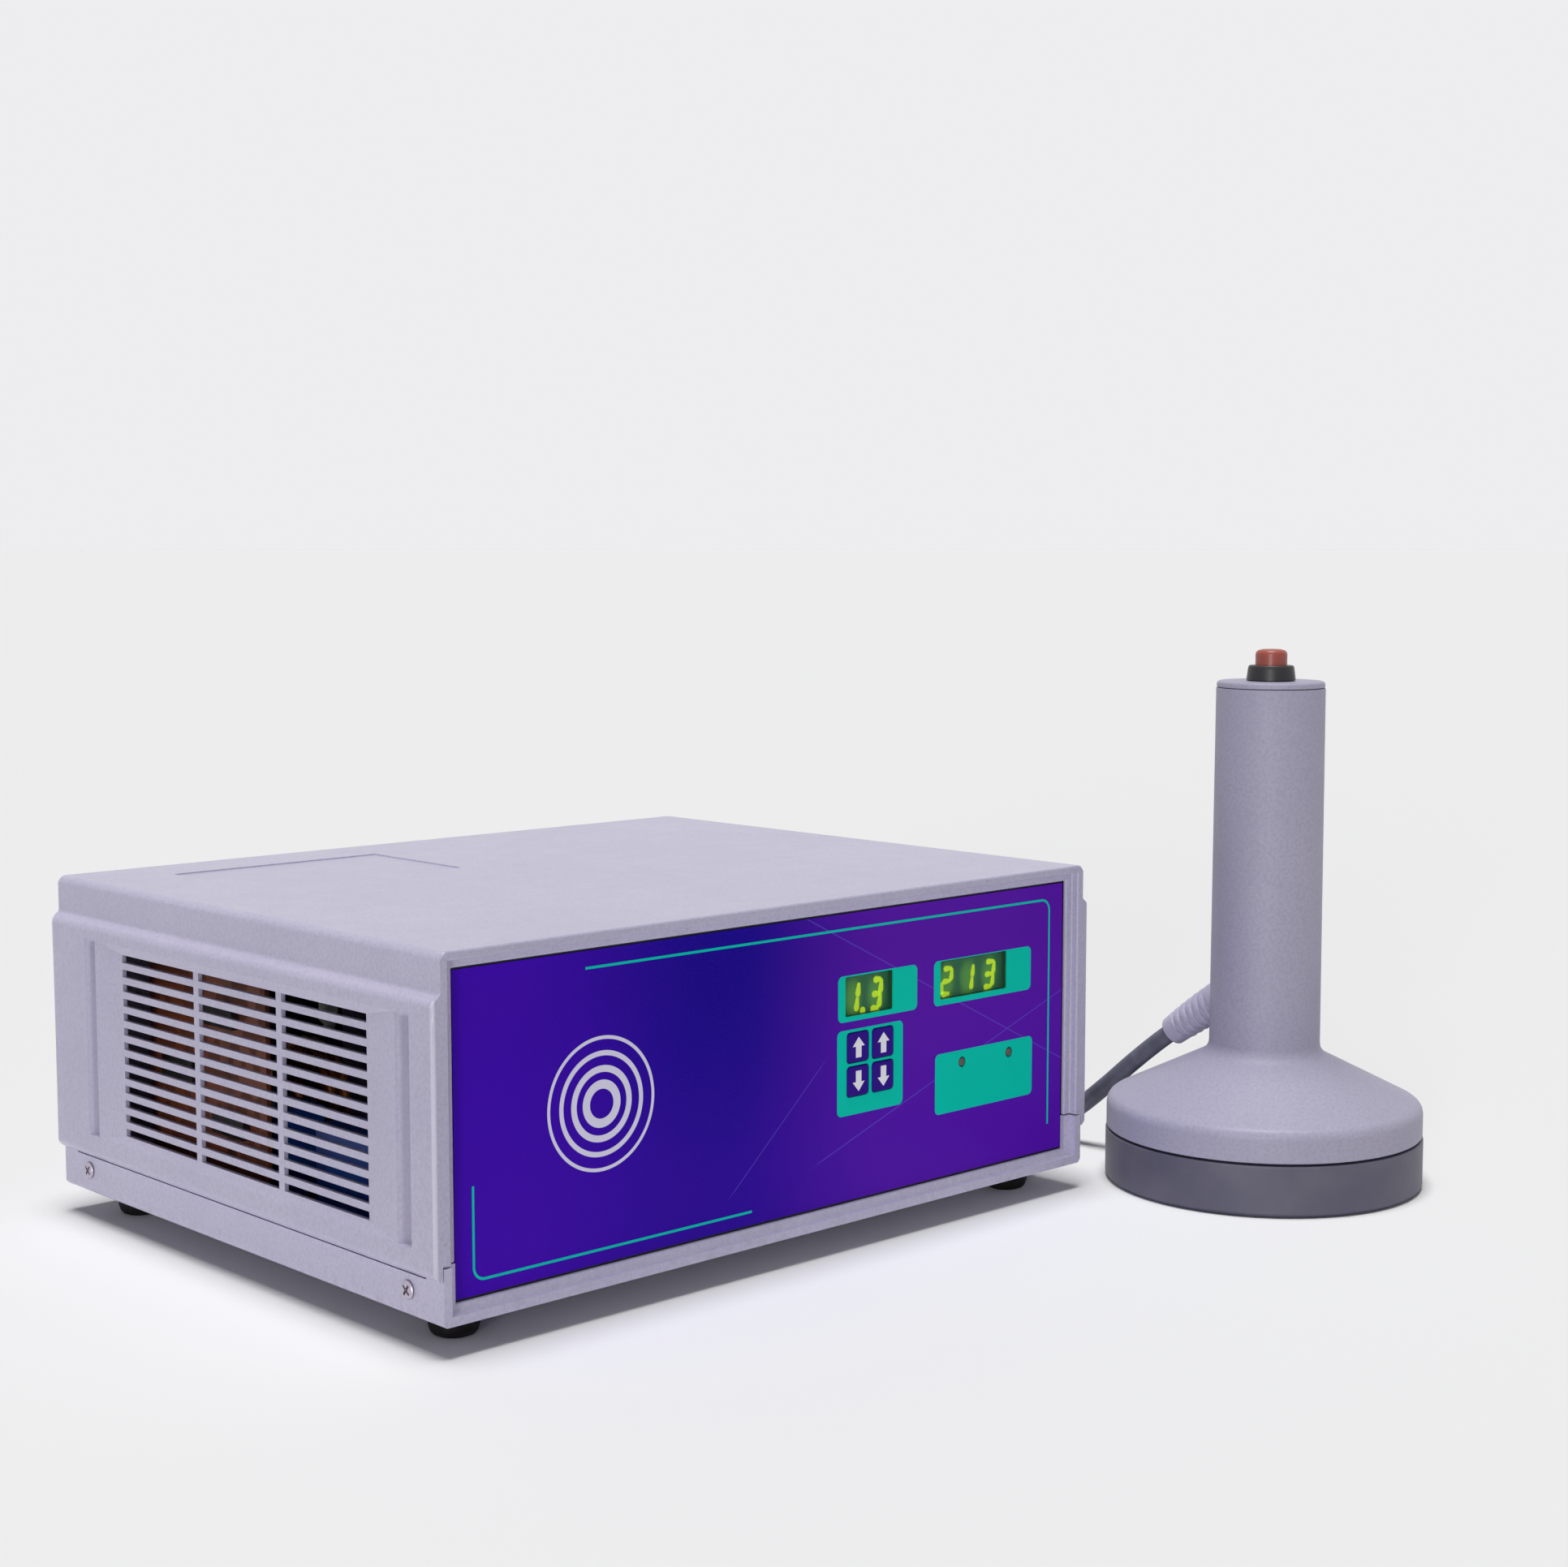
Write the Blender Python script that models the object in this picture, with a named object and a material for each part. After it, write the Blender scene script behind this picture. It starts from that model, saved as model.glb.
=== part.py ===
"""Hand-held induction cap sealer: a bench power unit, a sealing head and the cable between them.

The power unit is two plastic shells closed by a front and a rear panel. The head is a bell with a
long handle over a coil cup, and it stands on its flat sealing face beside the unit.
Metres, +Z up. The origin is on the floor, in the middle of the unit and the head.
"""

import math

import bmesh
import bpy
from mathutils import Matrix, Vector

# Clearance between pieces that touch
GAP = 0.0003
# How far a cutter runs past the face that it cuts
PAST = 0.002

# Housing shells
HOUSING_WIDTH = 0.284
HOUSING_DEPTH = 0.228
HOUSING_HEIGHT = 0.110
WALL = 0.0029
TOP_EDGE_RADIUS = 0.0025
TRAY_HEIGHT = 0.013
SIDE_RAISE = 0.003
SIDE_RAISE_BELOW_TOP = 0.0123
SIDE_CHAMFER = 0.0025
SEAM_STEP = 0.0048
POST_DEPTH = 0.009

# Recess that holds each end panel
RIM_DEPTH = 0.0029
LEDGE_THICK = 0.0017
LEDGE_SIDE = 0.0031
LEDGE_HIGH = 0.0027
PANEL_THICK = 0.0015
KEEPER_THICK = 0.0015
OVERLAY_THICK = 0.0006
OVERLAY_INSET = 0.0008

# Side grille, measured from the front face and the top
GRILLE_FRONT = 0.0350
GRILLE_BELOW_TOP = 0.0222
GRILLE_ABOVE_BASE = 0.0250
SLOT_LENGTH = 0.0465
SLOT_HEIGHT = 0.0026
SLOT_PITCH = 0.00497
SLOT_COLUMNS = 3
COLUMN_WALL = 0.0030
RECESS_DEPTH = 0.0012
RECESS_END = 0.0163
RECESS_EDGE = 0.0032
FLUTE_WIDTH = 0.0072
FLUTE_DEPTH = 0.0012

# Shallow bare field pressed into the top
FIELD_LENGTH = 0.0843
FIELD_WIDTH = 0.0550
FIELD_DEPTH = 0.0005
FIELD_LEFT = 0.0317
FIELD_REAR = 0.0241

# Feet
FOOT_HEIGHT = 0.0095
FOOT_RADIUS = 0.0080
FOOT_FLAT_RADIUS = 0.0056
FOOT_SIDE_INSET = 0.0180
FOOT_END_INSET = 0.0205

# Case screws, through the tray into lugs of the cover
SCREW_HEIGHT = 0.0080
SCREW_INSET = 0.0178
SCREW_HEAD_RADIUS = 0.0033
SCREW_HEAD_HEIGHT = 0.0014
SCREW_SHANK_RADIUS = 0.0015
LUG_THICK = 0.0052
LUG_WIDTH = 0.0110
LUG_TOP = 0.0240

# Front panel layout, from the right side and the top of the housing
PANEL_CUT_RADIUS = 0.0006
WINDOW_HEIGHT = 0.0128
WINDOW_BELOW_TOP = 0.0345
TIME_WINDOW_FROM_RIGHT = 0.1061
TIME_WINDOW_WIDTH = 0.0222
VOLT_WINDOW_FROM_RIGHT = 0.0540
VOLT_WINDOW_WIDTH = 0.0338
KEY_SIZE = 0.0100
KEYS_FROM_RIGHT = 0.10565
KEYS_BELOW_TOP = 0.0577
KEY_PITCH_X = 0.0119
KEY_PITCH_Z = 0.0115
KEY_PROUD = 0.0004
KEY_TRAVEL = 0.0005
KEY_CORNER = 0.0010
KEY_FLANGE = 0.0006
KEY_FLANGE_THICK = 0.0010
KEY_STEM_RADIUS = 0.0015
READY_LAMP_FROM_RIGHT = 0.0599
HEATING_LAMP_FROM_RIGHT = 0.0353
LAMPS_BELOW_TOP = 0.0645
LAMP_RADIUS = 0.0016
LAMP_PROUD = 0.0004

# Control board behind the front panel
BOARD_THICK = 0.0016
CONTROL_BOARD_SETBACK = 0.0100
CONTROL_BOARD_FROM_RIGHT = 0.0160
CONTROL_BOARD_LENGTH = 0.1160
CONTROL_BOARD_BELOW_TOP = 0.0200
CONTROL_BOARD_TALL = 0.0560
CONTROL_PEG_RADIUS = 0.0025
CONTROL_PEG_INSET = 0.0050
KEY_SWITCH_SIZE = 0.0060
KEY_SWITCH_HEIGHT = 0.0040
DISPLAY_WINDOW_GAP = 0.0012

# Rear panel layout, from the sides and the underside
FAN_FROM_LEFT = 0.0720
FAN_Z = 0.0555
FAN_SIZE = 0.0600
FAN_DEPTH = 0.0150
FAN_CORNER_RADIUS = 0.0040
FAN_BORE_RADIUS = 0.0285
FAN_HUB_RADIUS = 0.0125
FAN_BLADES = 7
FAN_TIP_CLEARANCE = 0.0010
BLADE_THICK = 0.0011
BLADE_SPAN = math.radians(46)
BLADE_SWEEP = math.radians(20)
FAN_STRUT = 0.0030
FAN_CUP_DEPTH = 0.0040
GRILLE_RING_WALL = 0.0018
GRILLE_RINGS = 4
GRILLE_SPOKE = 0.0030
SWITCH_FROM_RIGHT = 0.1020
SWITCH_Z = 0.0640
SWITCH_WIDTH = 0.0148
SWITCH_TALL = 0.0210
SWITCH_RIM = 0.0020
SWITCH_FLANGE_THICK = 0.0020
SWITCH_DEPTH = 0.0160
ROCKER_CLEARANCE = 0.0004
ROCKER_TILT = math.radians(9)
ROCKER_BEND = math.radians(8)
ROCKER_PROUD = 0.0012
ROCKER_THICK = 0.0050
INLET_FROM_RIGHT = 0.0580
INLET_Z = 0.0560
INLET_WIDTH = 0.0247
INLET_TALL = 0.0168
INLET_CORNER = 0.0040
INLET_WALL = 0.0015
INLET_FLANGE = 0.0032
INLET_FLANGE_THICK = 0.0025
INLET_DEPTH = 0.0160
INLET_BACK = 0.0025
PIN_WIDTH = 0.0020
PIN_TALL = 0.0040
PIN_LENGTH = 0.0130
PIN_SPACING = 0.0070
PIN_OFFSET = 0.0020
FUSE_FROM_RIGHT = 0.0240
FUSE_Z = 0.0560
FUSE_RADIUS = 0.0060
FUSE_FLANGE_RADIUS = 0.0080
FUSE_FLANGE_THICK = 0.0020
FUSE_DEPTH = 0.0240
FUSE_CAP_RADIUS = 0.0056
FUSE_CAP_PROUD = 0.0050
CABLE_OUT_FROM_RIGHT = 0.1145
CABLE_OUT_Z = 0.0170

# Power board and what stands on it
BOARD_SIDE_GAP = 0.0140
BOARD_FRONT_GAP = 0.0260
BOARD_REAR_GAP = 0.0340
POWER_BOARD_Z = 0.0085
BOSS_RADIUS = 0.0035
BOSS_INSET = 0.0060
DRIVER_BOARD_FROM_EDGE = 0.0015
DRIVER_BOARD_FROM_REAR = 0.0010
DRIVER_BOARD_LENGTH = 0.0740
DRIVER_BOARD_TALL = 0.0790
DRIVER_TAB_INSET = 0.0140
DRIVER_TAB_LENGTH = 0.0120
DRIVER_TAB_PAST = 0.0008
DRIVER_CHIP_SIZE = (0.0030, 0.0200, 0.0080)
DRIVER_CHIPS = ((0.0100, 0.0200), (0.0420, 0.0340), (0.0160, 0.0560))
SINK_LEFT_X = -0.0200
SINK_LEFT_Y = 0.0120
SINK_RIGHT_FROM_EDGE = 0.0380
SINK_RIGHT_Y = -0.0020
SINK_LENGTH = 0.0800
SINK_WIDTH = 0.0260
SINK_HEIGHT = 0.0480
SINK_BASE = 0.0040
SINK_FINS = 7
SINK_FIN_THICK = 0.0014
FILM_CAP_SIZE = (0.0180, 0.0360, 0.0300)
FILM_CAP_FROM_EDGE = 0.0160
FILM_CAP_FRONT_Y = -0.0320
FILM_CAP_REAR_Y = 0.0240
ROUND_CAP_X = 0.0120
ROUND_CAP_SPACING = 0.0300
ROUND_CAP_Y = -0.0600
ROUND_CAP_RADIUS = 0.0125
ROUND_CAP_HEIGHT = 0.0420
CORE_FROM_EDGE = 0.0730
CORE_Y = -0.0500
WINDING_STANDS_OUT = 0.0090
CORE_WIDTH = 0.0520
CORE_DEPTH = 0.0180
CORE_HEIGHT = 0.0460
CORE_LEG = 0.0090
WINDING_CLEAR = 0.0005
CHOKE_FROM_EDGE = 0.0480
CHOKE_Y = 0.0530
CHOKE_RADIUS = 0.0150
CHOKE_TUBE = 0.0065
TERMINAL_SIZE = (0.0320, 0.0120, 0.0140)
TERMINAL_Y = 0.0620
BRIDGE_SIZE = (0.0280, 0.0070, 0.0220)
BRIDGE_FROM_SINK = 0.0235
BRIDGE_Y = 0.0200

# Sealing head
CUP_RADIUS = 0.0580
CUP_HEIGHT = 0.0186
CUP_WALL = 0.0034
CUP_FLOOR = 0.0028
CUP_EDGE_RADIUS = 0.0020
CUP_SEAM = 0.0008
CUP_SPIGOT = 0.0030
BELL_SKIRT_TOP = 0.0275
BELL_SHOULDER_RADIUS = 0.0045
BELL_CONE_ANGLE = math.radians(26.5)
BELL_WALL = 0.0026
HANDLE_BASE_RADIUS = 0.0202
HANDLE_TOP_RADIUS = 0.0197
HANDLE_FILLET = 0.0050
HANDLE_TOP = 0.1829
HANDLE_CAP_THICK = 0.0022
HANDLE_CAP_SPIGOT = 0.0040
BUSH_RADIUS = 0.0089
BUSH_TOP_RADIUS = 0.0083
BUSH_HEIGHT = 0.0054
BUSH_NECK_RADIUS = 0.0078
BUSH_NECK_LENGTH = 0.0080
BUTTON_RADIUS = 0.00575
BUTTON_PROUD = 0.0060
BUTTON_TRAVEL = 0.0030
SWITCH_CAN_RADIUS = 0.0095
SWITCH_CAN_LENGTH = 0.0260
SWITCH_CAN_FLOOR = 0.0080
COIL_INNER_RADIUS = 0.0140
COIL_SIDE_CLEARANCE = 0.0040
COIL_HEIGHT = 0.0048
FERRITE_WIDTH = 0.0120
FERRITE_TALL = 0.0050
FERRITE_END_GAP = 0.0030
FERRITE_COUNT = 4
FERRITE_INNER_RADIUS = 0.0130

# Where the head stands, from the middle of the housing
HEAD_OFFSET_X = 0.2030
HEAD_OFFSET_Y = -0.1510

# Ribbed cable boots, the same moulding at both ends
BOOT_LENGTH = 0.0250
BOOT_ROOT_LENGTH = 0.0060
BOOT_BASE_RADIUS = 0.0071
BOOT_END_RADIUS = 0.0056
BOOT_COLLAR = 0.0055
BOOT_RIBS = 6
BOOT_GROOVE = 0.0007
BOOT_NECK_RADIUS = 0.0056
BOOT_HEIGHT_ON_HANDLE = 0.0648
BOOT_TURN = math.radians(96.5)
BOOT_DROP = math.radians(36)
REAR_BOOT_LENGTH = 0.0219

# Cable between the unit and the head
CORD_RADIUS = 0.0035
TURN_PITCH = 0.0071
COIL_MEAN_RADIUS = 0.0385
CORD_COIL_Y = 0.1780
CORD_LEAVES_COIL = math.radians(60)
CORD_CLEAR_OF_COIL = 0.0252
CORD_POINT_SPACING = 0.0080

# Derived places
SIDE_X = HOUSING_WIDTH / 2
FRONT_Y = -HOUSING_DEPTH / 2
REAR_Y = HOUSING_DEPTH / 2
SEAM_Z = TRAY_HEIGHT
RAISE_LOW_Z = SEAM_Z + GAP
INNER_X = SIDE_X - WALL
CEILING_Z = HOUSING_HEIGHT - WALL
PANEL_SETBACK = RIM_DEPTH + LEDGE_THICK + GAP
PLATE_BACK = PANEL_SETBACK + PANEL_THICK
KEEPER_SETBACK = PLATE_BACK + GAP
OVERLAY_SETBACK = PANEL_SETBACK - GAP - OVERLAY_THICK
SIDE_RAISE_TOP = HOUSING_HEIGHT - SIDE_RAISE_BELOW_TOP
GRILLE_TOP = HOUSING_HEIGHT - GRILLE_BELOW_TOP
SLOT_ROWS = 1 + int((GRILLE_TOP - GRILLE_ABOVE_BASE - SLOT_HEIGHT) / SLOT_PITCH)
GRILLE_LENGTH = SLOT_COLUMNS * SLOT_LENGTH + (SLOT_COLUMNS - 1) * COLUMN_WALL
GRILLE_LOW = GRILLE_TOP - (SLOT_ROWS - 1) * SLOT_PITCH - SLOT_HEIGHT
GRILLE_REAR = GRILLE_FRONT + GRILLE_LENGTH
POCKET_END = PLATE_BACK + KEEPER_THICK + 0.004
TIME_WINDOW_X = SIDE_X - TIME_WINDOW_FROM_RIGHT
VOLT_WINDOW_X = SIDE_X - VOLT_WINDOW_FROM_RIGHT
WINDOW_CENTRE_Z = HOUSING_HEIGHT - WINDOW_BELOW_TOP
KEY_COLUMN_X = SIDE_X - KEYS_FROM_RIGHT
KEY_ROW_Z = HOUSING_HEIGHT - KEYS_BELOW_TOP
LAMP_X = (SIDE_X - READY_LAMP_FROM_RIGHT, SIDE_X - HEATING_LAMP_FROM_RIGHT)
LAMP_Z = HOUSING_HEIGHT - LAMPS_BELOW_TOP
CONTROL_BOARD_RIGHT = SIDE_X - CONTROL_BOARD_FROM_RIGHT
CONTROL_BOARD_LEFT = CONTROL_BOARD_RIGHT - CONTROL_BOARD_LENGTH
CONTROL_BOARD_HIGH = HOUSING_HEIGHT - CONTROL_BOARD_BELOW_TOP
CONTROL_BOARD_LOW = CONTROL_BOARD_HIGH - CONTROL_BOARD_TALL
FAN_X = -SIDE_X + FAN_FROM_LEFT
SWITCH_X = SIDE_X - SWITCH_FROM_RIGHT
INLET_X = SIDE_X - INLET_FROM_RIGHT
FUSE_X = SIDE_X - FUSE_FROM_RIGHT
CABLE_OUT_X = SIDE_X - CABLE_OUT_FROM_RIGHT
POWER_BOARD_X = (-SIDE_X + BOARD_SIDE_GAP, SIDE_X - BOARD_SIDE_GAP)
POWER_BOARD_Y = (FRONT_Y + BOARD_FRONT_GAP, REAR_Y - BOARD_REAR_GAP)
DRIVER_BOARD_X = POWER_BOARD_X[0] + DRIVER_BOARD_FROM_EDGE
DRIVER_BOARD_REAR = POWER_BOARD_Y[1] - DRIVER_BOARD_FROM_REAR
CUP_INNER_RADIUS = CUP_RADIUS - CUP_WALL - BELL_WALL
COIL_OUTER_RADIUS = CUP_INNER_RADIUS - COIL_SIDE_CLEARANCE
FERRITE_LONG = COIL_OUTER_RADIUS - FERRITE_INNER_RADIUS - FERRITE_END_GAP
CUP_TOP_Z = CUP_HEIGHT
BELL_LOW_Z = CUP_TOP_Z + CUP_SEAM
BELL_RADIUS = CUP_RADIUS - GAP
HANDLE_CAP_TOP = HANDLE_TOP + GAP + HANDLE_CAP_THICK
BUSH_TOP = HANDLE_CAP_TOP + GAP + BUSH_HEIGHT
BUTTON_TOP = BUSH_TOP + BUTTON_PROUD
REAR_BOOT_END = REAR_Y - PANEL_SETBACK + REAR_BOOT_LENGTH
OUTER_TURN_RADIUS = COIL_MEAN_RADIUS + TURN_PITCH / 2
CORD_COIL_X = CABLE_OUT_X + OUTER_TURN_RADIUS

# The origin is the middle of the box round the unit and the head
BOX_X = (-SIDE_X - SIDE_RAISE, HEAD_OFFSET_X + CUP_RADIUS)
BOX_Y = (HEAD_OFFSET_Y - CUP_RADIUS, REAR_BOOT_END)
HOUSING_X = -sum(BOX_X) / 2
HOUSING_Y = -sum(BOX_Y) / 2

SHELL_GREY = (0.47, 0.45, 0.56)
CUP_GREY = (0.11, 0.115, 0.16)
BLACK = (0.015, 0.014, 0.015)


def clear_scene():
    """Empties the file of whatever it opened with."""
    for obj in list(bpy.data.objects):
        bpy.data.objects.remove(obj, do_unlink=True)


def material(name, colour, roughness=0.5, metallic=0.0):
    """A plain finish, made once and shared by the pieces that have it."""
    found = bpy.data.materials.get(name)
    if found:
        return found
    made = bpy.data.materials.new(name)
    made.use_nodes = True
    shader = made.node_tree.nodes["Principled BSDF"]
    shader.inputs["Base Color"].default_value = (*colour, 1)
    shader.inputs["Roughness"].default_value = roughness
    shader.inputs["Metallic"].default_value = metallic
    made.diffuse_color = (*colour, 1)
    return made


def frame(name, location):
    """An empty that carries a group of pieces."""
    empty = bpy.data.objects.new(name, None)
    empty.location = location
    bpy.context.collection.objects.link(empty)
    return empty


def finish_mesh(name, bm, parent, finish=None, location=(0, 0, 0), smooth=True):
    """Turns a bmesh into an object with outward faces. Without a finish it is a cutter."""
    bmesh.ops.recalc_face_normals(bm, faces=bm.faces)
    mesh = bpy.data.meshes.new(name)
    bm.to_mesh(mesh)
    bm.free()
    obj = bpy.data.objects.new(name, mesh)
    obj.location = location
    obj.parent = parent
    bpy.context.collection.objects.link(obj)
    if smooth:
        mesh.shade_smooth()
        mesh.set_sharp_from_angle(angle=math.radians(35))
    if finish:
        mesh.materials.append(finish)
    else:
        obj.hide_render = True
        obj.display_type = "WIRE"
    return obj


def add_prism(bm, outline, axis, low, high):
    """Adds an outline, drawn in the plane across an axis, as a solid between two places on it."""
    others = [i for i in range(3) if i != axis]
    rings = []
    for place in (low, high):
        ring = []
        for point in outline:
            spot = [0.0, 0.0, 0.0]
            spot[axis] = place
            spot[others[0]], spot[others[1]] = point
            ring.append(bm.verts.new(spot))
        rings.append(ring)
    bm.faces.new(rings[0])
    bm.faces.new(list(reversed(rings[1])))
    for i, vert in enumerate(rings[0]):
        after = (i + 1) % len(outline)
        bm.faces.new((vert, rings[1][i], rings[1][after], rings[0][after]))


def add_box(bm, x, y, z):
    """Adds a box between the low and high values given for each axis."""
    outline = [(x[0], y[0]), (x[1], y[0]), (x[1], y[1]), (x[0], y[1])]
    add_prism(bm, outline, 2, z[0], z[1])


def prism(name, outline, axis, low, high, parent, finish=None, location=(0, 0, 0)):
    bm = bmesh.new()
    add_prism(bm, outline, axis, low, high)
    return finish_mesh(name, bm, parent, finish, location)


def box(name, x, y, z, parent, finish=None):
    bm = bmesh.new()
    add_box(bm, x, y, z)
    return finish_mesh(name, bm, parent, finish)


def loft(name, rings, parent, finish=None, location=(0, 0, 0), closed=False):
    """A skin over rings of equal count. It is capped at both ends, or closed on itself."""
    bm = bmesh.new()
    made = [[bm.verts.new(point) for point in ring] for ring in rings]
    count = len(made[0])
    pairs = list(zip(made, made[1:]))
    if closed:
        pairs.append((made[-1], made[0]))
    else:
        bm.faces.new(made[0])
        bm.faces.new(list(reversed(made[-1])))
    for first, second in pairs:
        for i in range(count):
            after = (i + 1) % count
            bm.faces.new((first[i], first[after], second[after], second[i]))
    return finish_mesh(name, bm, parent, finish, location)


def circle(radius, height, steps, phase=0.0):
    """Points of a level ring round the Z axis."""
    turns = [phase + 2 * math.pi * i / steps for i in range(steps)]
    return [(radius * math.cos(t), radius * math.sin(t), height) for t in turns]


def turned(name, profile, steps, parent, finish=None, location=(0, 0, 0), closed=False):
    """A turned piece from (radius, height) points, round the Z axis."""
    rings = [circle(radius, height, steps) for radius, height in profile]
    return loft(name, rings, parent, finish, location, closed)


def arc(centre, radius, start, end, steps):
    """Points on an arc in a plane, both ends included, with angles in degrees."""
    points = []
    for i in range(steps + 1):
        turn = math.radians(start + (end - start) * i / steps)
        points.append((centre[0] + radius * math.cos(turn), centre[1] + radius * math.sin(turn)))
    return points


def rounded(width, height, radius, steps=3, centre=(0, 0)):
    """A rectangle with round corners, anticlockwise from its right side."""
    x = width / 2 - radius
    y = height / 2 - radius
    points = []
    for i, (sx, sy) in enumerate(((1, 1), (-1, 1), (-1, -1), (1, -1))):
        corner = (centre[0] + sx * x, centre[1] + sy * y)
        points += arc(corner, radius, 90 * i, 90 * i + 90, steps)
    return points


def combine(obj, other, operation="DIFFERENCE"):
    """Cuts a helper from an object, or joins it on."""
    other.hide_render = True
    other.display_type = "WIRE"
    modifier = obj.modifiers.new(other.name, "BOOLEAN")
    modifier.operation = operation
    modifier.object = other


def join(obj, other):
    combine(obj, other, "UNION")


def soften(obj, width, segments=2, angle=40):
    """Rounds the edges that are sharper than an angle."""
    modifier = obj.modifiers.new("edge_round", "BEVEL")
    modifier.width = width
    modifier.segments = segments
    modifier.limit_method = "ANGLE"
    modifier.angle_limit = math.radians(angle)


def mirrored(outline):
    """The same outline on the other side of the middle plane."""
    return [(-x, z) for x, z in reversed(outline)]


def cover_section():
    """Half of the cover across the housing, from the foot of its inner wall to the middle of the roof."""
    low = SEAM_Z + GAP
    outer = [(SIDE_X, low), (SIDE_X + SIDE_RAISE, low + SIDE_CHAMFER)]
    outer.append((SIDE_X + SIDE_RAISE, SIDE_RAISE_TOP - SIDE_CHAMFER))
    outer.append((SIDE_X, SIDE_RAISE_TOP))
    corner = (SIDE_X - TOP_EDGE_RADIUS, HOUSING_HEIGHT - TOP_EDGE_RADIUS)
    outer += arc(corner, TOP_EDGE_RADIUS, 0, 90, 4)
    return [(INNER_X, low)] + outer


def panel_ribs(name, parent, setback, thick, side, high, sign):
    """The inverted U of rib that an end panel slides behind, with its face set back from the rim."""
    reach = WALL / 2
    outer_x = INNER_X + reach
    inner_x = INNER_X - side
    roof = CEILING_Z + reach
    low = SEAM_Z + SEAM_STEP + GAP
    outline = [(outer_x, low), (outer_x, roof), (-outer_x, roof), (-outer_x, low)]
    outline += [(-inner_x, low), (-inner_x, CEILING_Z - high), (inner_x, CEILING_Z - high), (inner_x, low)]
    places = sorted((sign * (REAR_Y - setback), sign * (REAR_Y - setback - thick)))
    return prism(name, outline, 1, places[0], places[1], parent)


def side_pocket(parent, sign):
    """Keeps the raised side at the same wall thickness as the rest."""
    inner = INNER_X - PAST
    outer = SIDE_X + SIDE_RAISE - WALL
    low = SEAM_Z + SIDE_CHAMFER + WALL + GAP
    high = SIDE_RAISE_TOP - SIDE_CHAMFER - GAP
    chamfer = outer - INNER_X
    outline = [(inner, low), (INNER_X, low), (outer, low + chamfer), (outer, high - chamfer)]
    outline += [(INNER_X, high), (inner, high)]
    if sign < 0:
        outline = mirrored(outline)
    name = "side_pocket_cutter_" + ("right" if sign > 0 else "left")
    return prism(name, outline, 1, FRONT_Y + POCKET_END, REAR_Y - POCKET_END, parent)


def grille_recess(parent, sign):
    """The mitred field that slopes in to the slots."""
    face = sign * (SIDE_X + SIDE_RAISE)
    floor = face - sign * RECESS_DEPTH
    inner = (FRONT_Y + GRILLE_FRONT, FRONT_Y + GRILLE_REAR, GRILLE_LOW, GRILLE_TOP)
    outer = (inner[0] - RECESS_END, inner[1] + RECESS_END, inner[2] - RECESS_EDGE, inner[3] + RECESS_EDGE)
    grow = 1 + PAST / RECESS_DEPTH
    over = [inner[i] + (outer[i] - inner[i]) * grow for i in range(4)]
    rings = []
    for x, (front, rear, low, high) in ((floor, inner), (face + sign * PAST, over)):
        rings.append([(x, front, low), (x, rear, low), (x, rear, high), (x, front, high)])
    return loft("grille_recess_cutter_" + ("right" if sign > 0 else "left"), rings, parent)


def flutes(parent, sign):
    """Two shallow upright grooves at the ends of the recess."""
    radius = ((FLUTE_WIDTH / 2) ** 2 + FLUTE_DEPTH**2) / (2 * FLUTE_DEPTH)
    centre_x = sign * (SIDE_X + SIDE_RAISE - FLUTE_DEPTH + radius)
    reach = RECESS_END + FLUTE_WIDTH / 2
    bm = bmesh.new()
    for y in (FRONT_Y + GRILLE_FRONT - reach, FRONT_Y + GRILLE_REAR + reach):
        ring = arc((centre_x, y), radius, 0, 345, 23)
        add_prism(bm, ring, 2, GRILLE_LOW - RECESS_EDGE, GRILLE_TOP + RECESS_EDGE)
    return finish_mesh("flute_cutter_" + ("right" if sign > 0 else "left"), bm, parent)


def grille_slots(parent):
    """Rows of slots right across the housing, so that both sides match."""
    bm = bmesh.new()
    reach = SIDE_X + SIDE_RAISE + PAST
    for column in range(SLOT_COLUMNS):
        front = FRONT_Y + GRILLE_FRONT + column * (SLOT_LENGTH + COLUMN_WALL)
        for row in range(SLOT_ROWS):
            high = GRILLE_TOP - row * SLOT_PITCH
            add_box(bm, (-reach, reach), (front, front + SLOT_LENGTH), (high - SLOT_HEIGHT, high))
    return finish_mesh("grille_slot_cutter", bm, parent)


def screw_places():
    """(side, y) of the four case screws."""
    return [(side, y) for side in (1, -1) for y in (FRONT_Y + SCREW_INSET, REAR_Y - SCREW_INSET)]


def add_cross_cylinder(bm, radius, x, y, z, steps=12):
    """Adds a cylinder along X."""
    ring = arc((y, z), radius, 0, 360 - 360 / steps, steps - 1)
    add_prism(bm, ring, 0, x[0], x[1])


def cover_lugs(parent):
    """Four lugs that hang down inside the tray and take the case screws."""
    bm = bmesh.new()
    outer = INNER_X - GAP
    inner = outer - LUG_THICK
    low = WALL + GAP
    outline = [(inner, low), (outer, low), (outer, SEAM_Z + GAP), (INNER_X + WALL / 2, SEAM_Z + 2 * GAP)]
    outline += [(INNER_X + WALL / 2, LUG_TOP), (inner + LUG_THICK / 2, LUG_TOP), (inner, LUG_TOP - LUG_THICK)]
    for side, y in screw_places():
        shape = outline if side > 0 else mirrored(outline)
        add_prism(bm, shape, 1, y - LUG_WIDTH / 2, y + LUG_WIDTH / 2)
    return finish_mesh("cover_lugs", bm, parent)


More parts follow.
